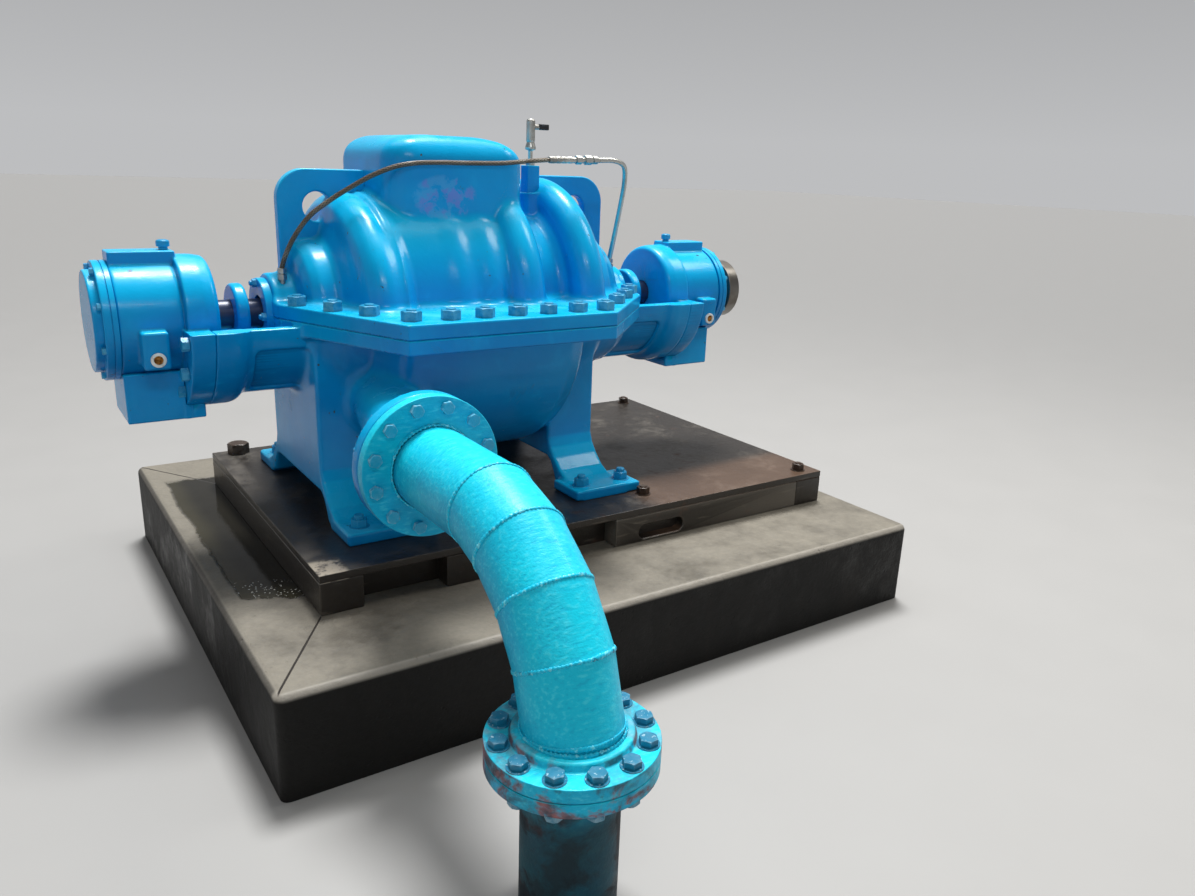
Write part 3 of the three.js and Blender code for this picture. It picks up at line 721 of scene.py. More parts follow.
# %% Half sections
class HalfSection:
    step = 0.003

    def __init__(self, corners, swells=(), soften=0.008, join=0.022):
        self.x0 = min(c[0] for c in corners) - 0.09
        nx = int((max(c[0] for c in corners) + 0.09 - self.x0) / self.step) + 2
        nr = int((max(c[1] for c in corners) + 0.18) / self.step) + 2
        x = self.x0 + self.step * np.arange(nx)[:, None] + np.zeros((1, nr))
        r = self.step * np.arange(nr)[None] + np.zeros((nx, 1))
        below_axis = [(x_, -r_) for x_, r_ in reversed(corners[1:-1])]
        table = outline_distance(corners + below_axis, x, r)
        for middle, half, base, crest in swells:
            rise = min(crest - base, half)
            ball = (half**2 + rise**2) / (2 * rise)
            table = smooth_union(table, np.hypot(x - middle, r - (crest - ball)) - ball, join)
        self.table = self.blurred(table, soften).astype(np.float32)

    def blurred(self, table, soften):
        spread = int(soften / self.step * 2.5) + 1
        weights = np.exp(-0.5 * (np.arange(-spread, spread + 1) * self.step / soften) ** 2)
        weights /= weights.sum()
        for axis, size in enumerate(table.shape):
            ends = [(spread, spread) if a == axis else (0, 0) for a in (0, 1)]
            padded = np.pad(table, ends, mode="edge")
            shifted = (np.take(padded, range(i, i + size), axis) for i in range(len(weights)))
            table = sum(w * values for w, values in zip(weights, shifted))
        return table

    def __call__(self, p):
        u = np.clip((p[0] - self.x0) / self.step, 0, self.table.shape[0] - 1.001)
        v = np.clip(off_shaft(p) / self.step, 0, self.table.shape[1] - 1.001)
        i, j = u.astype(int), v.astype(int)
        s, t = u - i, v - j
        lower = self.table[i, j] * (1 - s) + self.table[i + 1, j] * s
        upper = self.table[i, j + 1] * (1 - s) + self.table[i + 1, j + 1] * s
        return lower * (1 - t) + upper * t


# %% [markdown]
# The skin is laid by the surface nets method. A grid of points is asked for its distance, but
# only in full near the surface. Every grid cell that the surface passes through gets one point,
# and neighbouring cells are joined by four-sided faces.

# %% Laying a net over a distance function
def sampled(distance, low, high, step):
    """The distance on a grid; far from the surface one value stands for 4 x 4 x 4 points."""
    blocks = np.ceil((high - low) / (4 * step)).astype(int) + 1
    middles = [low[a] + step * (4 * np.arange(blocks[a]) + 1.5) for a in range(3)]
    coarse = distance(np.meshgrid(*middles, indexing="ij"))
    field = coarse.repeat(4, 0).repeat(4, 1).repeat(4, 2).astype(np.float32)
    close = np.argwhere(abs(coarse) < 7.5 * step)
    inner = np.stack(np.meshgrid(*[np.arange(4)] * 3, indexing="ij"), -1).reshape(-1, 3)
    index = (close[:, None] * 4 + inner).reshape(-1, 3)
    field[tuple(index.T)] = distance([low[a] + step * index[:, a] for a in range(3)])
    return field


def net(field):
    """Points in units of the grid, and faces that look out of the body."""
    inside, unit = field < 0, np.eye(3, dtype=int)
    strides = np.array([field.shape[1] * field.shape[2], field.shape[2], 1])
    cells, crossings, faces, flips = [], [], [], []
    for axis in range(3):
        here, there = [slice(None)] * 3, [slice(None)] * 3
        here[axis], there[axis] = slice(None, -1), slice(1, None)
        edge = np.argwhere(inside[tuple(here)] != inside[tuple(there)])
        first, second = field[tuple(edge.T)], field[tuple((edge + unit[axis]).T)]
        crossing = edge.astype(float)
        crossing[:, axis] += first / (first - second)
        b, c = unit[(axis + 1) % 3], unit[(axis + 2) % 3]
        around = [corner @ strides for corner in (edge - b - c, edge - c, edge, edge - b)]
        faces.append(np.stack(around, 1))
        flips.append(~inside[tuple(edge.T)])
        cells += around
        crossings += [crossing] * 4
    names, back = np.unique(np.concatenate(cells), return_inverse=True)
    crossings, count = np.concatenate(crossings), np.bincount(back)
    points = np.stack([np.bincount(back, crossings[:, a]) / count for a in range(3)], 1)
    faces = np.searchsorted(names, np.concatenate(faces))
    flip = np.concatenate(flips)
    faces[flip] = faces[flip][:, ::-1]
    return points, faces


# %% [markdown]
# Blender's own remesher needs a closed mesh to start from. This needs only the function, and
# moving each point along the slope puts it on the true surface. Flat areas then lose their
# inner points, which halves the number of triangles and shows nowhere, and the shading takes
# its normals from the slope as well.

# %% From a net to a skin
GRID_SHIFT = 0.371
FLAT_WITHIN = math.radians(0.15)


def slope(distance, points, reach):
    ways = reach * np.eye(3)
    rises = [distance((points + way).T) - distance((points - way).T) for way in ways]
    return np.stack(rises, 1) / (2 * reach)


def skin(name, distance, low, high, step):
    low = np.array(low, float) - GRID_SHIFT * step
    points, faces = net(sampled(distance, low, np.array(high), step))
    points = points * step + low
    for _ in range(2):
        g = slope(distance, points, 0.3 * step)
        push = distance(points.T) / np.maximum((g**2).sum(1), 0.25)
        points = points - np.clip(push, -0.5 * step, 0.5 * step)[:, None] * g
    mesh = mesh_of(name, points, faces)
    with editing(mesh) as work:
        bmesh.ops.dissolve_limit(work, angle_limit=FLAT_WITHIN, verts=work.verts,
                                 edges=work.edges, use_dissolve_boundaries=False)
    g = slope(distance, np.array([v.co for v in mesh.vertices]), 0.5 * step)
    normals = g / np.maximum(np.linalg.norm(g, axis=1, keepdims=True), 1e-9)
    smooth(mesh).normals_split_custom_set_from_vertices(normals.tolist())
    triangles = sum(len(p.vertices) - 2 for p in mesh.polygons)
    print(name, len(mesh.vertices), "points", triangles, "triangles")
    return mesh


# %% [markdown]
# The upper casing is a barrel whose stages stand out as rings, a tall block over the crossover
# passage, a lug seat at each end, a boss for the vent, and half of the joint flange. The rings
# are circles in the half section, so they blend with the barrel as one table.

# %% Upper casing
JOINT_FRONT = [(-0.665, -0.150), (-0.450, -0.655), (0.262, -0.655), (0.590, -0.330),
               (0.665, -0.150)]
JOINT = JOINT_FRONT + [(x, -y) for x, y in reversed(JOINT_FRONT)]
JOINT_TOP = 1.125
JOINT_GAP = 0.0002
CASING_BORE = 0.051
VENT_PLACE = (0.262, -0.080)

barrel = HalfSection(
    [(-0.665, 0), (-0.665, 0.125), (-0.592, 0.125), (-0.586, 0.178), (-0.570, 0.210),
     (-0.546, 0.226), (-0.500, 0.228), (-0.486, 0.238), (-0.472, 0.285), (-0.460, 0.335),
     (-0.345, 0.372), (-0.330, 0.380), (-0.205, 0.380), (-0.090, 0.381), (0.020, 0.380),
     (0.060, 0.355), (0.140, 0.345), (0.166, 0.325), (0.252, 0.325), (0.275, 0.345),
     (0.390, 0.345), (0.402, 0.313), (0.450, 0.295), (0.500, 0.276), (0.540, 0.235),
     (0.572, 0.214), (0.588, 0.170), (0.592, 0.125), (0.665, 0.125), (0.665, 0)],
    swells=[(-0.404, 0.058, 0.335, 0.380), (-0.143, 0.055, 0.381, 0.403),
            (-0.035, 0.050, 0.382, 0.403), (0.090, 0.064, 0.355, 0.440),
            (0.330, 0.059, 0.355, 0.442)],
    soften=0.006,
)


def lug_plate(p):
    """The left lug: an upright plate with one round shoulder and an eye."""
    across = abs(p[0] + 0.462) - 0.152
    upright = abs(p[2] - 1.3595) - 0.1695
    edge = np.where((p[0] < -0.462) & (p[2] > 1.36), 0.095, 0.004)
    eye = np.hypot(p[0] + 0.487, p[2] - 1.412) - 0.047
    plate = np.maximum(inner_corner(across + edge, upright + edge, edge), -eye)
    return capped(plate, -0.020, 0.020, p[1], 0.006)


def dome(p):
    """The block over the crossover passage: its top slopes down to both sides."""
    x, y, z = p
    block = block_at(p, (-0.330, -0.252, 1.20), (0.165, 0.252, 1.650), 0.096)
    sloped = 0.75 * np.maximum(x + 0.02, 0) ** 1.5 + 0.60 * np.maximum(-0.17 - x, 0) ** 1.5
    return cut_from(block, 1.662 - z - sloped, 0.04)


def upper_casing(p):
    x, y, z = p
    first_stage = np.clip((x + 0.50) / 0.04, 0, 1) * np.clip((-0.300 - x) / 0.045, 0, 1)
    body = barrel((x, y * (1 - 0.12 * first_stage), z))
    squarish = (abs(y) ** 2.3 + abs(z - SHAFT_HEIGHT) ** 2.3) ** (1 / 2.3)
    body = smooth_union(body, capped(squarish - 0.381, -0.37, 0.05, x, 0.01), 0.012)
    body = smooth_union(np.maximum(body, SHAFT_HEIGHT - z), dome(p), 0.020)
    vent = capped(np.hypot(x - VENT_PLACE[0], y - VENT_PLACE[1]) - 0.038, 1.38, 1.47, z, 0.006)
    body = smooth_union(body, vent, 0.02)
    for side in (1, -1):
        foot = np.maximum(lug_plate((side * x, y, z)) + 0.002, z - 1.40)
        body = smooth_union(body, foot, 0.022)
    flange = capped(outline_distance(JOINT, x, y), 1.04, JOINT_TOP, z, 0.005)
    body = np.maximum(smooth_union(body, flange, 0.03), SHAFT_HEIGHT + JOINT_GAP - z)
    return np.maximum(body, CASING_BORE - off_shaft(p))


upper_mesh = skin("cast_upper_casing", upper_casing,
                  (-0.69, -0.68, 1.06), (0.69, 0.68, 1.66), 0.0062)
put("cast_upper_casing", upper_mesh, pump_enamel, "upper_casing")

# %% [markdown]
# Each lifting lug is a thick plate with a round eye, standing in the plane of the shaft.

# %% Lifting lugs
lug_mesh = skin("lug", lug_plate, (-0.63, -0.03, 1.18), (-0.30, 0.03, 1.54), 0.0042)
put("lug_plate_left", lug_mesh, pump_enamel, "lifting_lug_left")
put("lug_plate_right", mirrored(lug_mesh), pump_enamel, "lifting_lug_right")

# %% [markdown]
# A bearing housing hangs in a half-pipe bracket at each end, and the bracket's arm is cast onto
# the lower casing. The two ends are mirror images, so each piece is made for the free end. Half
# circles are milled out of the housing's collar to make room for the flange's nuts.

# %% Brackets and bearing housings
BRACKET_TOP = 1.067
FLANGE_NUTS = [(-0.235 * math.cos(a), -0.235 * math.sin(a))
               for a in np.radians((11, 37, 63, 89, 117, 143, 169))]


def bracket_arm(p, thinner=0.0):
    """The left bracket's half pipe, with a recessed web along each side."""
    x, y, z = p
    arm = capped(abs(off_shaft(p) - 0.231) - 0.019 + thinner, -0.840, -0.580, x, 0.004)
    recess = block_at((x, abs(y), z), (-0.762, 0.10, 0.70), (-0.55, 0.40, 1.000), 0.02)
    arm = cut_from(arm, np.maximum(recess, 0.238 - off_shaft(p)), 0.008)
    return np.maximum(arm, z - BRACKET_TOP + thinner)


def bearing_bracket(p):
    ring = cut_from(abs(off_shaft(p) - 0.2445) - 0.0325, -0.778 - p[0], 0.055)
    ring = cut_from(ring, p[0] + 0.880, 0.004)
    return np.maximum(smooth_union(bracket_arm(p), ring, 0.012), p[2] - BRACKET_TOP)


housing_drum = HalfSection(
    [(-1.1145, 0), (-1.1145, 0.172), (-0.946, 0.172), (-0.945, 0.166), (-0.939, 0.166),
     (-0.937, 0.190), (-0.880, 0.189), (-0.852, 0.184), (-0.842, 0.174), (-0.842, 0)],
    soften=0.0032,
)


def bearing_housing(p):
    x, y, z = p
    flange = capped(off_shaft(p) - 0.277, -0.948, -0.8803, x, 0.004)
    body = smooth_union(housing_drum(p), np.maximum(flange, z - BRACKET_TOP), 0.006)
    for nut_y, nut_z in FLANGE_NUTS:
        spot = np.hypot(y - nut_y, z - SHAFT_HEIGHT - nut_z) - 0.031
        body = cut_from(body, np.maximum(np.maximum(spot, x + 0.9475), -0.995 - x), 0.003)
    pad = block_at(p, (-1.112, -0.050, 1.20), (-0.930, 0.050, 1.283), 0.004)
    boss = block_at(p, (-1.066, -0.215, 0.962), (-0.994, -0.120, 1.072), 0.009)
    body = smooth_union(smooth_union(body, pad, 0.008), boss, 0.008)
    return np.maximum(body, 0.0455 - off_shaft(p))


bracket_mesh = skin("bracket", bearing_bracket, (-0.90, -0.29, 0.79), (-0.56, 0.29, 1.09), 0.0046)
housing_mesh = skin("housing", bearing_housing, (-1.13, -0.29, 0.79), (-0.83, 0.29, 1.30), 0.0042)
put_at_both_ends("cast_bracket", bracket_mesh, pump_enamel, "bearing_bracket")
put_at_both_ends("cast_housing", housing_mesh, pump_enamel, "bearing_housing")

# %% [markdown]
# The lower casing hangs from the same joint. Its belly has a tight corner at the free end and a
# round one at the drive end, it stands on two arched legs that spread into feet, and both
# nozzles grow out of it, the discharge to the front and the suction to the back.

# %% Lower casing
PIPE_X, PIPE_HEIGHT, SPOOL_R = -0.527, 0.815, 0.1875
SUCTION_X = 0.527
FOOT_LOW, FOOT_TOP = 0.4313, 0.4663

belly = HalfSection(
    [(-0.665, 0), (-0.665, 0.125), (-0.600, 0.125), (-0.592, 0.250), (-0.500, 0.300),
     (-0.428, 0.330), (-0.412, 0.495), (-0.403, 0.516), (-0.382, 0.525), (0.180, 0.525),
     (0.243, 0.498), (0.270, 0.435), (0.330, 0.330), (0.592, 0.250), (0.600, 0.125),
     (0.665, 0.125), (0.665, 0)],
    soften=0.009,
)
STAND_FRONT = [(-0.248, 1.06), (-0.248, 0.600), (-0.262, 0.565), (-0.290, 0.530), (-0.330, 0.495),
               (-0.375, 0.474), (-0.420, FOOT_TOP), (-0.498, FOOT_TOP), (-0.498, FOOT_LOW),
               (-0.335, FOOT_LOW), (-0.303, 0.446), (-0.285, 0.480), (-0.265, 0.512),
               (-0.238, 0.528)]
STAND = STAND_FRONT + [(-y, z) for y, z in reversed(STAND_FRONT)]
STANDS = ((-0.594, -0.392, -0.594, -0.300), (0.257, 0.450, 0.232, 0.505))


def stand_with_feet(p, low, high, foot_low, foot_high):
    x, y, z = p
    leg = capped(outline_distance(STAND, y, z), low, high, x, 0.010)
    foot = block_at((x, abs(y), z), (foot_low, 0.335, FOOT_LOW), (foot_high, 0.498, FOOT_TOP),
                    0.006)
    return smooth_union(leg, foot, 0.012)


def with_discharge(body, p):
    """The neck leans out and widens towards its flange."""
    x, y, z = p
    reach = np.clip((-y - 0.230) / 0.673, 0, 1)
    neck = np.hypot(0.974 * (x + 0.372 + 0.155 * reach), z - PIPE_HEIGHT) - (0.100 + 0.012 * reach)
    body = smooth_union(body, capped(neck, -0.92, -0.23, y, 0.002), 0.05)
    flange = np.hypot(x - PIPE_X, z - PIPE_HEIGHT) - SPOOL_R
    return smooth_union(body, capped(flange, -0.940, -0.898, y, 0.004), 0.012)


def with_suction(body, p):
    """A straight neck with an open bore and twelve bolt holes in its flange."""
    x, y, z = p
    away = np.hypot(x - SUCTION_X, z - PIPE_HEIGHT)
    body = smooth_union(body, capped(away - 0.165, 0.15, 0.92, y, 0.002), 0.05)
    body = smooth_union(body, capped(away - 0.225, 0.898, 0.940, y, 0.004), 0.012)
    body = cut_from(body, np.maximum(away - 0.126, 0.61 - y), 0.003)
    twelfth = np.mod(np.arctan2(z - PIPE_HEIGHT, x - SUCTION_X), math.pi / 6) - math.pi / 12
    hole = np.hypot(away * np.cos(twelfth) - 0.198, away * np.sin(twelfth)) - 0.0135
    return cut_from(body, np.maximum(hole, 0.885 - y), 0.002)


def lower_casing(p):
    x, y, z = p
    body = np.maximum(belly(p), z - 1.0798)
    for sizes in STANDS:
        body = smooth_union(body, stand_with_feet(p, *sizes), 0.03)
    for side in (1, -1):
        root = np.maximum(bracket_arm((side * x, y, z), 0.003), -0.700 - side * x)
        body = smooth_union(body, root, 0.028)
    body = with_suction(with_discharge(body, p), p)
    flange = capped(outline_distance(JOINT, x, y), 1.035, 1.12, z, 0.005)
    body = np.maximum(smooth_union(body, flange, 0.022), z - SHAFT_HEIGHT + JOINT_GAP)
    return np.maximum(body, CASING_BORE - off_shaft(p))


lower_mesh = skin("cast_lower_casing", lower_casing,
                  (-0.72, -0.96, 0.41), (0.74, 0.96, 1.10), 0.0078)
put("cast_lower_casing", lower_mesh, pump_enamel, "lower_casing")

# %% [markdown]
# The oil sump is a welded box under the housing, with a toe that passes below the flange. Cover,
# gland and deflector ring are turned. The drive end's cover is drilled for the shaft.

# %% Sumps, end covers, glands and rotor pieces
def sump(p):
    main = block_at(p, (-1.113, -0.117, 0.786), (-0.933, 0.117, 0.935), 0.005)
    toe = block_at(p, (-0.955, -0.117, 0.786), (-0.895, 0.117, 0.834), 0.003)
    body = np.maximum(smooth_union(main, toe, 0.004), 0.1722 - off_shaft(p))
    return np.maximum(body, np.minimum(0.2775 - off_shaft(p), p[0] + 0.9487))


sump_mesh = skin("sump", sump, (-1.13, -0.13, 0.77), (-0.88, 0.13, 0.97), 0.005)
put_at_both_ends("welded_sump", sump_mesh, pump_enamel, "oil_sump")

cover = [(-1.177, 0), (-1.177, 0.150, 0.006), (-1.153, 0.150, 0.001), (-1.153, 0.176, 0.004),
         (-1.1325, 0.176, 0.001), (-1.1325, 0.172, 0.0005), (-1.1295, 0.172, 0.0005),
         (-1.1295, 0.176, 0.001), (-1.1153, 0.176, 0.001), (-1.1153, 0)]
drilled = [(-1.1153, 0.051), (-1.177, 0.051, 0.004)] + cover[1:-1] + [(-1.1153, 0.051)]
put("turned_cover_free_end", spun("cover", cover, steps=128), pump_enamel,
    "end_cover_free_end", bevelled=True)
put("turned_cover_drive_end", mirrored(spun("drilled_cover", drilled, steps=128)), pump_enamel,
    "end_cover_drive_end", bevelled=True)

gland = [(-0.6653, 0.055), (-0.6653, 0.110), (-0.691, 0.110, 0.004), (-0.691, 0.078, 0.002),
         (-0.688, 0.055), (-0.6653, 0.055)]
put_at_both_ends("turned_gland", spun("gland", gland), pump_enamel, "gland_plate", bevelled=True)
ring = [(-0.735, 0.0453), (-0.735, 0.090, 0.004), (-0.742, 0.096, 0.004), (-0.768, 0.096, 0.004),
        (-0.775, 0.090, 0.004), (-0.775, 0.0453), (-0.735, 0.0453)]
put_at_both_ends("turned_deflector", spun("deflector", ring), pump_enamel, "deflector_ring",
                 body="rotor", bevelled=True)

shaft = [(-1.106, 0), (-1.106, 0.045, 0.003), (1.263, 0.045, 0.003), (1.263, 0)]
put("turned_shaft", spun("turned_shaft", shaft, steps=64), shaft_paint, "shaft", "rotor", True)
hub = [(1.189, 0.0453), (1.189, 0.080, 0.003), (1.215, 0.084, 0.008), (1.222, 0.118, 0.003),
       (1.273, 0.118, 0.003), (1.273, 0.070, 0.002), (1.268, 0.0453), (1.189, 0.0453)]
put("turned_coupling_hub", spun("turned_coupling_hub", hub), shaft_steel, "coupling_hub",
    "rotor", True)

# %% [markdown]
# Sight glass and breather are small, but the eye goes to them: a white ring round a bronze
# centre on the boss, and a round cap on the pad.

# %% Sight glasses and breathers
GLASS_RING = [(-0.2153, 0.012), (-0.2153, 0.021, 0.001), (-0.2225, 0.021, 0.002),
              (-0.224, 0.0135, 0.001), (-0.219, 0.012), (-0.2153, 0.012)]
GLASS = [(-0.2153, 0), (-0.2153, 0.0125), (-0.2205, 0.0125, 0.001), (-0.2205, 0.009, 0.001),
         (-0.2185, 0.008, 0.001), (-0.2185, 0)]
CAP = [(1.2833, 0), (1.2833, 0.013), (1.292, 0.013, 0.001), (1.293, 0.019, 0.002),
       (1.310, 0.019, 0.004), (1.313, 0.010, 0.002), (1.313, 0)]
ENDS = (("free_end", -1), ("drive_end", 1))
for end, side in ENDS:
    at = (side * 1.029, 0, 0.993)
    put(f"sight_ring_{end}", spun("sight_ring", GLASS_RING, "y", at, 0.001, 40), ring_white,
        bevelled=True)
    put(f"sight_centre_{end}", spun("sight_centre", GLASS, "y", at, 0.001, 32), brass,
        f"sight_glass_{end}", bevelled=True)
    put(f"breather_{end}", spun("breather", CAP, "z", (side * 0.953, 0, 0), 0.001, 32), pump_bolt,
        f"breather_cap_{end}", bevelled=True)

# %% [markdown]
# Fasteners are what give the machine its scale. A nut is a hexagon whose corners are chamfered
# by a cone, and here it is one section spun in 24 steps whose radius follows the hexagon. The
# stud's end stands out of it, and a washer lies under it.

# %% Nuts and bolts
NUT_STEPS = 24
dice = np.random.default_rng(7)


def hexagon(flats, height, stud=0.0, end=0.0, washer=0.0):
    """Points and faces of one nut or bolt head, standing on z = 0."""
    turn = circle(NUT_STEPS)
    six = flats / 2 / np.cos((turn + math.pi / 6) % (math.pi / 3) - math.pi / 6)
    face, top = flats * 0.47, height + washer
    rows = []
    if washer:
        rim = ((0.70, 0.0), (0.70, washer - 0.0008), (0.68, washer))
        rows = [(radius * flats, level) for radius, level in rim]
    shoulder = height - np.maximum(six - face, 0) * 0.45 + washer
    rows += [(six, washer), (six, shoulder), (face, top)]
    if stud:
        rows += [(stud, top), (stud, top + end - 0.002), (stud - 0.002, top + end)]
    rows.append((0.0, rows[-1][1]))
    radii, heights = (np.array([row[i] + np.zeros(NUT_STEPS) for row in rows]) for i in (0, 1))
    points = np.stack([radii * np.cos(turn), radii * np.sin(turn), heights], -1)
    return points.reshape(-1, 3), quads_between(len(rows), NUT_STEPS)


def fasteners(name, places, facing, finish, **size):
    """Many nuts in one piece. Each place is where a seat is, and facing is the way they point."""
    points, faces = hexagon(**size)
    way = Vector(facing).to_track_quat("Z", "Y").to_matrix()
    turns = [way @ Matrix.Rotation(dice.uniform(0, math.pi / 3), 3, "Z") for _ in places]
    every = [points @ np.array(turn).T + np.array(at) for turn, at in zip(turns, places)]
    all_faces = [faces + k * len(points) for k in range(len(places))]
    mesh = mesh_of(name, np.concatenate(every), np.concatenate(all_faces))
    put(name, joined(name, [mesh], 22), finish)


# %% [markdown]
# The joint's nuts follow the flange's outline. The two pairs of spool flanges have twelve bolts
# each, on a circle 320 mm across, with heads on one side and nuts on the other.

# %% Nuts of the joint and of the spool flanges
RISER_Y = -1.663
JOINT_NUTS = [(-0.616, -0.180), (-0.552, -0.320), (-0.482, -0.440), (-0.408, -0.575),
              (-0.292, -0.592), (-0.180, -0.592), (-0.068, -0.592), (0.040, -0.594),
              (0.148, -0.596), (0.252, -0.598), (0.378, -0.482), (0.480, -0.384), (0.574, -0.280)]
fasteners("joint_nuts", [(x, s * y, JOINT_TOP) for x, y in JOINT_NUTS for s in (1, -1)], (0, 0, 1),
          joint_bolt, flats=0.053, height=0.029, stud=0.015, end=0.004)


def bolt_circle(radius, degrees):
    return [(radius * math.cos(a), radius * math.sin(a)) for a in np.radians(degrees)]


twelve = bolt_circle(0.160, np.arange(15, 360, 30))
spool_nut = {"flats": 0.036, "height": 0.019, "stud": 0.012, "end": 0.007}
fasteners("spool_bolts_upper", [(PIPE_X + u, -0.974, PIPE_HEIGHT + v) for u, v in twelve],
          (0, -1, 0), pipe_bolt, flats=0.031, height=0.013)
fasteners("spool_nuts_upper", [(PIPE_X + u, -0.898, PIPE_HEIGHT + v) for u, v in twelve],
          (0, 1, 0), pump_bolt, **spool_nut)
fasteners("spool_bolts_lower", [(PIPE_X + u, RISER_Y + v, 0.430) for u, v in twelve],
          (0, 0, 1), flange_bolt, flats=0.036, height=0.015, washer=0.003)
fasteners("spool_nuts_lower", [(PIPE_X + u, RISER_Y + v, 0.364) for u, v in twelve],
          (0, 0, -1), flange_bolt, **spool_nut)

# %% [markdown]
# The discharge bend is a lobster back: straight pieces of pipe cut at nine degrees and welded.
# Each piece keeps its straight sides, so the rings of points lie on the mitre planes. Between
# them the plate is a little out of round, by a sixth of a millimetre.

# %% Discharge bend
PIPE_R = 0.1095
PIPE_STEPS = 96
MITRE = math.pi / 10
BEND_START = -0.954
PIECE_LENGTHS = (0.345, 0.137, 0.137, 0.137, 0.137, 0.021)


def bend_planes():
    """The middle and the tilt of the pipe's section at its start, at every seam and at its end."""
    y, z = BEND_START, PIPE_HEIGHT
    planes = [(y, z, 0.0)]
    for k, length in enumerate(PIECE_LENGTHS):
        y -= length * math.cos(k * MITRE)
        z -= length * math.sin(k * MITRE)
        planes.append((y, z, (k + 0.5) * MITRE if k < 5 else math.pi / 2))
    return planes


def seam_ring(plane, radius, turn):
    """Points round the pipe where it meets a mitre plane."""
    y, z, tilt = plane
    grow = 1.0 if tilt in (0.0, math.pi / 2) else 1 / math.cos(MITRE / 2)
    up = radius * np.sin(turn) * grow
    across = PIPE_X + radius * np.cos(turn)
    return np.stack([across, y - up * math.sin(tilt), z + up * math.cos(tilt)], -1)


planes = bend_planes()
turn = circle(PIPE_STEPS)
rings = []
for a, b in zip(planes, planes[1:]):
    first, last = seam_ring(a, PIPE_R, turn), seam_ring(b, PIPE_R, turn)
    cuts = np.linspace(0, 1, 7)[:-1] if b is not planes[-1] else np.linspace(0, 1, 3)
    for t in cuts:
        dent = 1 + 0.0016 * np.sin(3 * turn + 9 * t + 4 * a[0]) * np.sin(math.pi * t)
        middle = np.array((PIPE_X, (1 - t) * a[0] + t * b[0], (1 - t) * a[1] + t * b[1]))
        rings.append(middle + ((1 - t) * first + t * last - middle) * dent[:, None])
rings[0][:, 1] = -0.974
pipe_faces = quads_between(len(rings), PIPE_STEPS)[:, [0, 3, 2, 1]]
bend = mesh_of("mitred_bend", np.concatenate(rings), pipe_faces, sharp=12)
with editing(bend) as work:
    bmesh.ops.holes_fill(work, edges=[e for e in work.edges if e.is_boundary], sides=0)
put("mitred_bend", bend, cyan_enamel, "discharge_bend")

# %% [markdown]
# The weld is a bead of overlapping drops laid on the seam by hand, and no two drops are alike:
# slow waves swell it and lead it astray, quick ones are the drops.

# %% Weld beads
BEAD_STEPS, BEAD_SIDES = 360, 8
fine_turn = circle(BEAD_STEPS)


def unit(vectors):
    return vectors / np.linalg.norm(vectors, axis=1, keepdims=True)


def bead(path, size, drops):
    """A closed tube along a ring of points, flatter than it is wide."""
    slow, stray = (sum(np.sin(k * fine_turn + dice.uniform(0, 6.3)) / k**0.7
                       for k in (2, 3, 5, 8, 13)) for _ in range(2))
    noise = dice.random(BEAD_STEPS) - 0.5
    swell = 0.9 + 0.2 * slow + 0.22 * np.sin(drops * fine_turn + 2.5 * slow) + 0.2 * noise
    along = unit(np.roll(path, -1, 0) - np.roll(path, 1, 0))
    outward = path - path.mean(0)
    outward = unit(outward - (outward * along).sum(1, keepdims=True) * along)
    beside = np.cross(along, outward)
    points = []
    for angle in circle(BEAD_SIDES):
        lean = outward * math.cos(angle) * 0.6 + beside * math.sin(angle) * 1.3
        points.append(path + lean * (size * swell)[:, None] + beside * (0.0012 * stray)[:, None])
    points = np.stack(points, 1).reshape(-1, 3)
    return mesh_of("bead", points, quads_between(BEAD_STEPS, BEAD_SIDES, closed=True))


beads = [bead(seam_ring(plane, PIPE_R + 0.0005, fine_turn), 0.0036, 64 + 5 * k)
         for k, plane in enumerate(planes[1:6])]
u, v, level = 0.1125 * np.cos(fine_turn), 0.1125 * np.sin(fine_turn), np.ones(BEAD_STEPS)
upper_seam = np.stack([PIPE_X + u, -0.9765 * level, PIPE_HEIGHT + v], -1)
lower_seam = np.stack([PIPE_X + u, RISER_Y + v, 0.4500 * level], -1)
beads += [bead(upper_seam, 0.0062, 58), bead(lower_seam, 0.0052, 66)]
put("weld_beads", joined("weld_beads", beads), weld_enamel)

# %% [markdown]
# The flanges are turned rings, the lower one with a raised hub. The riser goes down to the
# floor.

# %% Spool flanges and riser
def disc(low, high):
    """A flange's section: its rim has rounded edges, and its bore is out of sight."""
    bore, edge = 0.10, 0.003
    return [(low, bore), (low, SPOOL_R, edge), (high, SPOOL_R, edge), (high, bore), (low, bore)]


HUB = [(0.398, 0.10), (0.398, SPOOL_R, 0.003), (0.430, SPOOL_R, 0.003), (0.430, 0.136, 0.004),
       (0.448, 0.130, 0.006), (0.448, 0.1085), (0.398, 0.10)]
RISER = [(0.0, 0), (0.0, PIPE_R), (0.3637, PIPE_R), (0.3637, 0)]
flange_upper = spun("flange_upper", disc(-0.974, -0.942), "y", (PIPE_X, 0, PIPE_HEIGHT), steps=128)
put("flange_upper", flange_upper, cyan_enamel, "bend_flange_upper", bevelled=True)
for name, section, steps, node in (("flange_lower", HUB, 128, "bend_flange_lower"),
                                   ("flange_riser", disc(0.364, 0.396), 128, "riser_flange"),
                                   ("pipe_riser", RISER, 96, "riser_pipe")):
    mesh = spun(name, section, "z", (PIPE_X, RISER_Y, 0), steps=steps)
    put(name, mesh, primed_enamel, node, bevelled=True)

# %% [markdown]
# The plinth is cast concrete with a rounded nosing along its top edge. The base frame on it is
# made of square bars under a deck plate. A block of either is a box with bevelled edges.

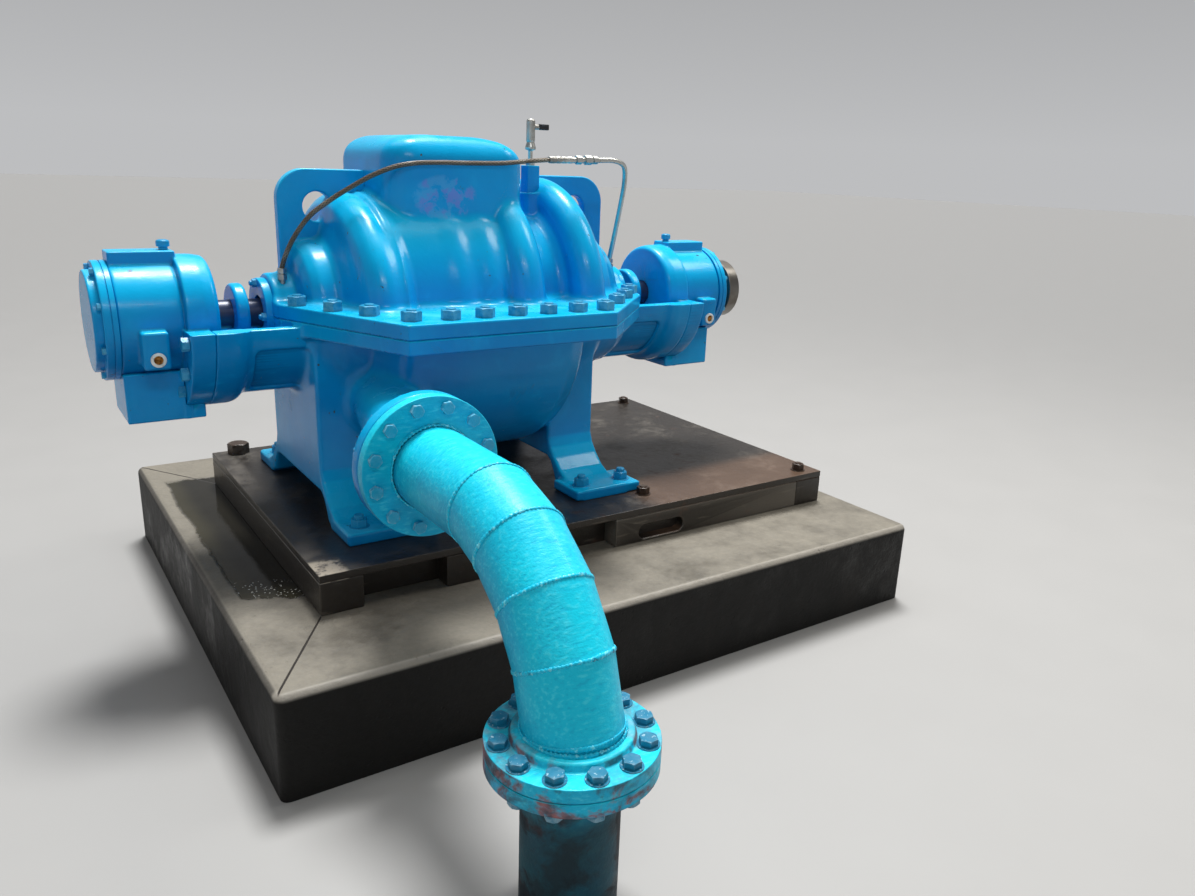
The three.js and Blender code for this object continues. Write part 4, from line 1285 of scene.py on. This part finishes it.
# %% Plinth and base frame
PLINTH_TOP, BEAM_LOW, BEAM_HIGH, DECK_TOP = 0.305, 0.3053, 0.4067, 0.431


def slab(name, low, high, edge, cuts, square_bottom=False):
    """A box with rounded edges, its faces divided so that the finish can follow them."""
    low, high = Vector(low), Vector(high)
    mesh = bpy.data.meshes.new(name)
    with editing(mesh) as work:
        bmesh.ops.create_cube(work, size=1.0)
        for v in work.verts:
            v.co = [(low[i] + high[i]) / 2 + v.co[i] * (high[i] - low[i]) for i in range(3)]
        keep = [e for e in work.edges
                if not (square_bottom and all(v.co.z < low.z + 1e-6 for v in e.verts))]
        bmesh.ops.bevel(work, geom=keep, offset=edge, segments=5, profile=0.5, affect="EDGES")
        long_edges = [e for e in work.edges if e.calc_length() > 0.12]
        bmesh.ops.subdivide_edges(work, edges=long_edges, cuts=cuts, use_grid_fill=True)
    return smooth(mesh, 35)


plinth = slab("cast_plinth", (-0.970, -1.020, 0.0), (1.400, 1.020, PLINTH_TOP), 0.024, 30, True)
put("cast_plinth", plinth, concrete, "plinth", bevelled=True)
deck = slab("deck_plate", (-0.740, -0.660, 0.407), (1.290, 0.660, DECK_TOP), 0.003, 3)
put("deck_plate", deck, steel_frame, "base_deck_plate", bevelled=True)
for name, low, high in (("left", -0.740, -0.610), ("right", 1.160, 1.290)):
    beam = slab("end_beam", (low, -0.660, BEAM_LOW), (high, 0.660, BEAM_HIGH), 0.004, 3)
    put(f"end_beam_{name}", beam, steel_frame, f"base_end_beam_{name}", bevelled=True)

# %% [markdown]
# The side beams lie back under the deck. One short land comes forward to the deck's edge near
# the free end, and a long one, with an oval recess in it, fills the right half.

# %% Side beams
def long_land(p):
    block = block_at(p, (0.290, -0.660, BEAM_LOW), (1.1597, -0.580, BEAM_HIGH), 0.003)
    oval = np.hypot(p[0] - np.clip(p[0], 0.415, 0.562), p[2] - 0.341) - 0.026
    return cut_from(block, np.maximum(oval, p[1] + 0.622), 0.004)


for name, way in (("front", -1), ("back", 1)):
    bar, land, net_reach = (sorted((near * way, far * way)) for near, far in
                            ((0.460, 0.590), (0.580, 0.660), (0.565, 0.675)))
    parts = [
        slab("bar", (-0.6097, bar[0], BEAM_LOW), (1.1597, bar[1], BEAM_HIGH), 0.003, 3),
        slab("land", (-0.345, land[0], BEAM_LOW), (-0.215, land[1], BEAM_HIGH), 0.003, 1),
        skin("long_land", lambda p: long_land((p[0], -way * p[1], p[2])),
             (0.27, net_reach[0], 0.29), (1.18, net_reach[1], 0.42), 0.006),
    ]
    beam = joined(f"side_beam_{name}", parts, 35)
    put(f"side_beam_{name}", beam, steel_frame, f"base_side_beam_{name}", bevelled=True)

# %% [markdown]
# The flush line carries clean water to the shaft seals. On one side it is a braided hose that
# bows over the casing, held by the couplings at both of its ends. Its route repeats the CAD's
# points, and a smooth curve through them is turned into a tube with the braid's two directions
# kept as attributes.

# %% A smooth route and a tube along it
def run_of(path):
    """How far along a path each of its points lies."""
    return np.concatenate([[0], np.cumsum(np.linalg.norm(np.diff(path, axis=0), axis=1))])


def smooth_route(points, steps):
    """A centripetal Catmull-Rom curve through the points, evenly sampled."""
    p = [np.array(q, float) for q in points]
    p = [2 * p[0] - p[1]] + p + [2 * p[-1] - p[-2]]
    out = []
    for four in zip(p, p[1:], p[2:], p[3:]):
        knots = np.cumsum([0] + [np.linalg.norm(b - a) ** 0.5 for a, b in zip(four, four[1:])])
        for s in np.linspace(knots[1], knots[2], 24, endpoint=False):
            def between(a, b, i, j):
                span = knots[j] - knots[i]
                return (knots[j] - s) / span * a + (s - knots[i]) / span * b

            ones = [between(four[i], four[i + 1], i, i + 1) for i in range(3)]
            twos = [between(ones[i], ones[i + 1], i, i + 2) for i in range(2)]
            out.append(between(*twos, 1, 2))
    out = np.array(out + [p[-2]])
    run = run_of(out)
    even = np.linspace(0, run[-1], steps)
    return np.stack([np.interp(even, run, out[:, i]) for i in range(3)], 1), run[-1]


def tube(name, path, radius, sides=20):
    """A round tube, closed at both ends, with its two directions as attributes."""
    way = unit(np.gradient(path, axis=0))
    side = np.cross(way[0], (0.31, 0.22, 0.92))
    turn, rings = circle(sides), []
    for centre, w in zip(path, way):
        side = side - (side @ w) * w
        side /= np.linalg.norm(side)
        spokes = np.cos(turn)[:, None] * side + np.sin(turn)[:, None] * np.cross(w, side)
        rings.append(centre + radius * spokes)
    points = np.concatenate([path[:1]] + rings + [path[-1:]])
    this, after = np.arange(sides), (np.arange(sides) + 1) % sides
    last = len(points) - 1 - sides
    faces = (1 + quads_between(len(path), sides)).tolist()
    faces += [(0, 1 + b, 1 + a) for a, b in zip(this.tolist(), after.tolist())]
    faces += [(len(points) - 1, last + a, last + b) for a, b in zip(this.tolist(), after.tolist())]
    mesh = bpy.data.meshes.new(name)
    mesh.from_pydata(points.tolist(), [], faces)
    run = run_of(path)
    for direction, values in (("around", [0, *np.tile(turn, len(path)), 0]),
                              ("along", [0, *np.repeat(run, sides), run[-1]])):
        attribute = mesh.attributes.new(direction, "FLOAT", "POINT")
        attribute.data.foreach_set("value", np.array(values, np.float32))
    return smooth(mesh, 40)


# %% [markdown]
# The other half of the flush line is a bent steel pipe, from the couplings down to the drive
# end's seal.

# %% Flush hose and pipe
HOSE = [(-0.626, -0.070, 1.226), (-0.617, -0.082, 1.262), (-0.592, -0.102, 1.322),
        (-0.548, -0.132, 1.390), (-0.494, -0.164, 1.438), (-0.436, -0.196, 1.480),
        (-0.380, -0.226, 1.516), (-0.320, -0.252, 1.543), (-0.262, -0.263, 1.556),
        (-0.180, -0.264, 1.561), (-0.060, -0.264, 1.563), (0.060, -0.264, 1.567),
        (0.150, -0.264, 1.576), (0.234, -0.264, 1.583)]
FLUSH = [(0.432, -0.264, 1.588), (0.500, -0.264, 1.588), (0.548, -0.250, 1.572),
         (0.582, -0.212, 1.520), (0.604, -0.164, 1.440), (0.619, -0.112, 1.330),
         (0.626, -0.070, 1.226)]
HOSE_R, FLUSH_R = 0.0075, 0.009
hose_path, hose_length = smooth_route(HOSE, 400)
print("hose length", round(hose_length, 3))
hose = put("braided_hose", tube("braided_hose", hose_path, HOSE_R), hose_braid, "flush_hose")
flush_path, _ = smooth_route(FLUSH, 120)
put("bent_flush_pipe", tube("bent_flush_pipe", flush_path, FLUSH_R), zinc, "flush_pipe")

# %% [markdown]
# Hose ends are crimped steel sleeves with hexagons for the spanner. They are made standing
# along Z, and then laid on the line between the ends of hose and pipe. The seal fittings below
# them are a stem with two hexagons.

# %% Couplings of the flush line
def laid_along(mesh, start, end):
    way = (Vector(end) - Vector(start)).to_track_quat("Z", "Y").to_matrix().to_4x4()
    mesh.transform(Matrix.Translation(start) @ way)
    return mesh


def hex_collar(low, high, flats, x=0.0, y=0.0):
    """A hexagon with a closed underside, standing between two heights."""
    points, faces = hexagon(flats, high - low)
    under = points[:NUT_STEPS] * (0, 0, 1)
    k = np.arange(NUT_STEPS)
    after, base = (k + 1) % NUT_STEPS, len(points)
    faces = np.concatenate([faces, np.stack([k, base + k, base + after, after], -1)])
    return mesh_of("collar", np.concatenate([points, under]) + np.array((x, y, low)), faces, 22)


sleeve = [(-0.006, HOSE_R), (-0.006, 0.0105, 0.001)]
for crimp in (0.004, 0.026, 0.048, 0.070):
    sleeve += [(crimp, 0.0118, 0.001), (crimp + 0.014, 0.0118, 0.001),
               (crimp + 0.016, 0.0108, 0.0005), (crimp + 0.020, 0.0108, 0.0005)]
sleeve += [(0.100, 0.0095, 0.001), (0.196, 0.0095, 0.001), (0.196, HOSE_R)]
parts = [spun("crimps", sleeve, "z", (0, 0, 0), 0.001, 32)]
parts += [hex_collar(*size) for size in ((0.102, 0.124, 0.026), (0.138, 0.166, 0.028),
                                         (0.172, 0.190, 0.024))]
ferrule = joined("ferrule", [laid_along(part, HOSE[-1], FLUSH[0]) for part in parts], 30)
put("crimped_ferrule", ferrule, zinc, "hose_ferrule")

STEM = [(1.170, 0), (1.170, 0.009), (1.226, 0.009, 0.001), (1.226, 0)]
for end, side in ENDS:
    x, y = side * 0.626, -0.070
    parts = [spun("stem", STEM, "z", (x, y, 0), 0.001, 24),
             hex_collar(1.1905, 1.208, 0.026, x, y), hex_collar(1.211, 1.2265, 0.024, x, y)]
    put(f"seal_fitting_{end}", joined("seal_fitting", parts, 30), zinc, f"flush_fitting_{end}")

# %% [markdown]
# The vent is a square block on a boss, with a small cock on top whose spout points sideways.

# %% Vent
vx, vy = VENT_PLACE
block = slab("vent_body", (vx - 0.025, vy - 0.025, 1.460), (vx + 0.025, vy + 0.025, 1.562),
             0.004, 1)
put("vent_body", block, pump_enamel, "vent_block", bevelled=True)
POST = [(1.5623, 0), (1.5623, 0.016, 0.001), (1.574, 0.016, 0.001), (1.575, 0.008),
        (1.612, 0.008, 0.002), (1.616, 0.019, 0.002), (1.624, 0.019, 0.002), (1.640, 0.0135, 0.002),
        (1.646, 0.0155, 0.002), (1.712, 0.0155, 0.003), (1.718, 0.011, 0.002), (1.718, 0)]
SPOUT = [(0.0, 0), (0.0, 0.009), (0.036, 0.009, 0.001), (0.036, 0.006), (0.036, 0)]
parts = [spun("post", POST, "z", (vx, vy, 0), 0.001, 32),
         spun("spout", SPOUT, "x", (vx, vy, 1.692), 0.001, 24)]
handle = slab("vent_handle", (vx + 0.030, vy - 0.011, 1.683), (vx + 0.070, vy + 0.011, 1.703),
              0.004, 1)
put("vent_handle", handle, handle_grip, bevelled=True)
put("vent_valve", joined("vent_valve", parts, 38), zinc, "vent_cock")

# %% [markdown]
# Small bolts: the covers, the bracket flanges and the glands have theirs on pitch circles, the
# feet in rows. The base frame is held by small nuts, and by one big old bolt at the back left.

# %% Small bolts
for end, side in ENDS:
    out = (side, 0, 0)
    cover_ring = [(side * 1.153, v, SHAFT_HEIGHT + u)
                  for u, v in bolt_circle(0.163, np.arange(22.5, 360, 45))]
    fasteners(f"cover_bolts_{end}", cover_ring, out, pump_bolt, flats=0.019, height=0.010)
    flange = [(side * 0.948, y, SHAFT_HEIGHT + z) for y, z in FLANGE_NUTS]
    fasteners(f"flange_nuts_{end}", flange, out, pump_bolt, flats=0.035, height=0.021)
    gland_ring = [(side * 0.691, u, SHAFT_HEIGHT + v)
                  for u, v in bolt_circle(0.094, (0, 90, 180, 270))]
    fasteners(f"gland_nuts_{end}", gland_ring, out, pump_bolt, flats=0.024, height=0.013,
              stud=0.008, end=0.008)
feet = [(x, s * 0.440, FOOT_TOP) for x in (-0.540, -0.355, 0.285, 0.455) for s in (1, -1)]
fasteners("foot_bolts", feet, (0, 0, 1), pump_bolt, flats=0.046, height=0.025,
          stud=0.015, end=0.012, washer=0.004)
fasteners("frame_bolt", [(-0.648, 0.622, DECK_TOP)], (0, 0, 1), bare_bolt,
          flats=0.070, height=0.040)
anchors = [(x, s * y, DECK_TOP) for x, y in ((0.492, 0.536), (1.215, 0.605)) for s in (1, -1)]
fasteners("anchor_nuts", anchors, (0, 0, 1), bare_bolt, flats=0.041, height=0.024,
          stud=0.013, end=0.004, washer=0.003)

# %% [markdown]
# The two gaskets are the only CAD nodes that stay: they are thin flat rings already, and only
# need their finish.

# %% Finish of the gaskets
for node in ("gasket_upper", "gasket_lower"):
    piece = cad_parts[node]
    piece.data.materials.clear()
    piece.data.materials.append(gasket_sheet)

# %% [markdown]
# The floor is plain and pale, with just enough tooth to catch the soft shadows.

# %% Floor
floor_mesh = bpy.data.meshes.new("floor")
with editing(floor_mesh) as work:
    bmesh.ops.create_grid(work, x_segments=8, y_segments=8, size=60.0)
floor_finish = Finish("studio_floor")
tooth = floor_finish.noise(3.0, 6.0)
floor_finish.ground(tooth, "9b9a98", "a09f9d")
floor_mesh.materials.append(floor_finish.finished(0.6 + 0.1 * tooth))
in_scene("floor", floor_mesh)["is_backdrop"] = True

# %% [markdown]
# The last cells measure what was made: the box round the shown pieces, and the count of faces.

# %% Sizes
low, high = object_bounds()
print("visual box", [round(v, 3) for v in (*low, *high)])
total = sum(len(o.data.polygons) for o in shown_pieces() if o.type == "MESH")
print("faces in all", total)
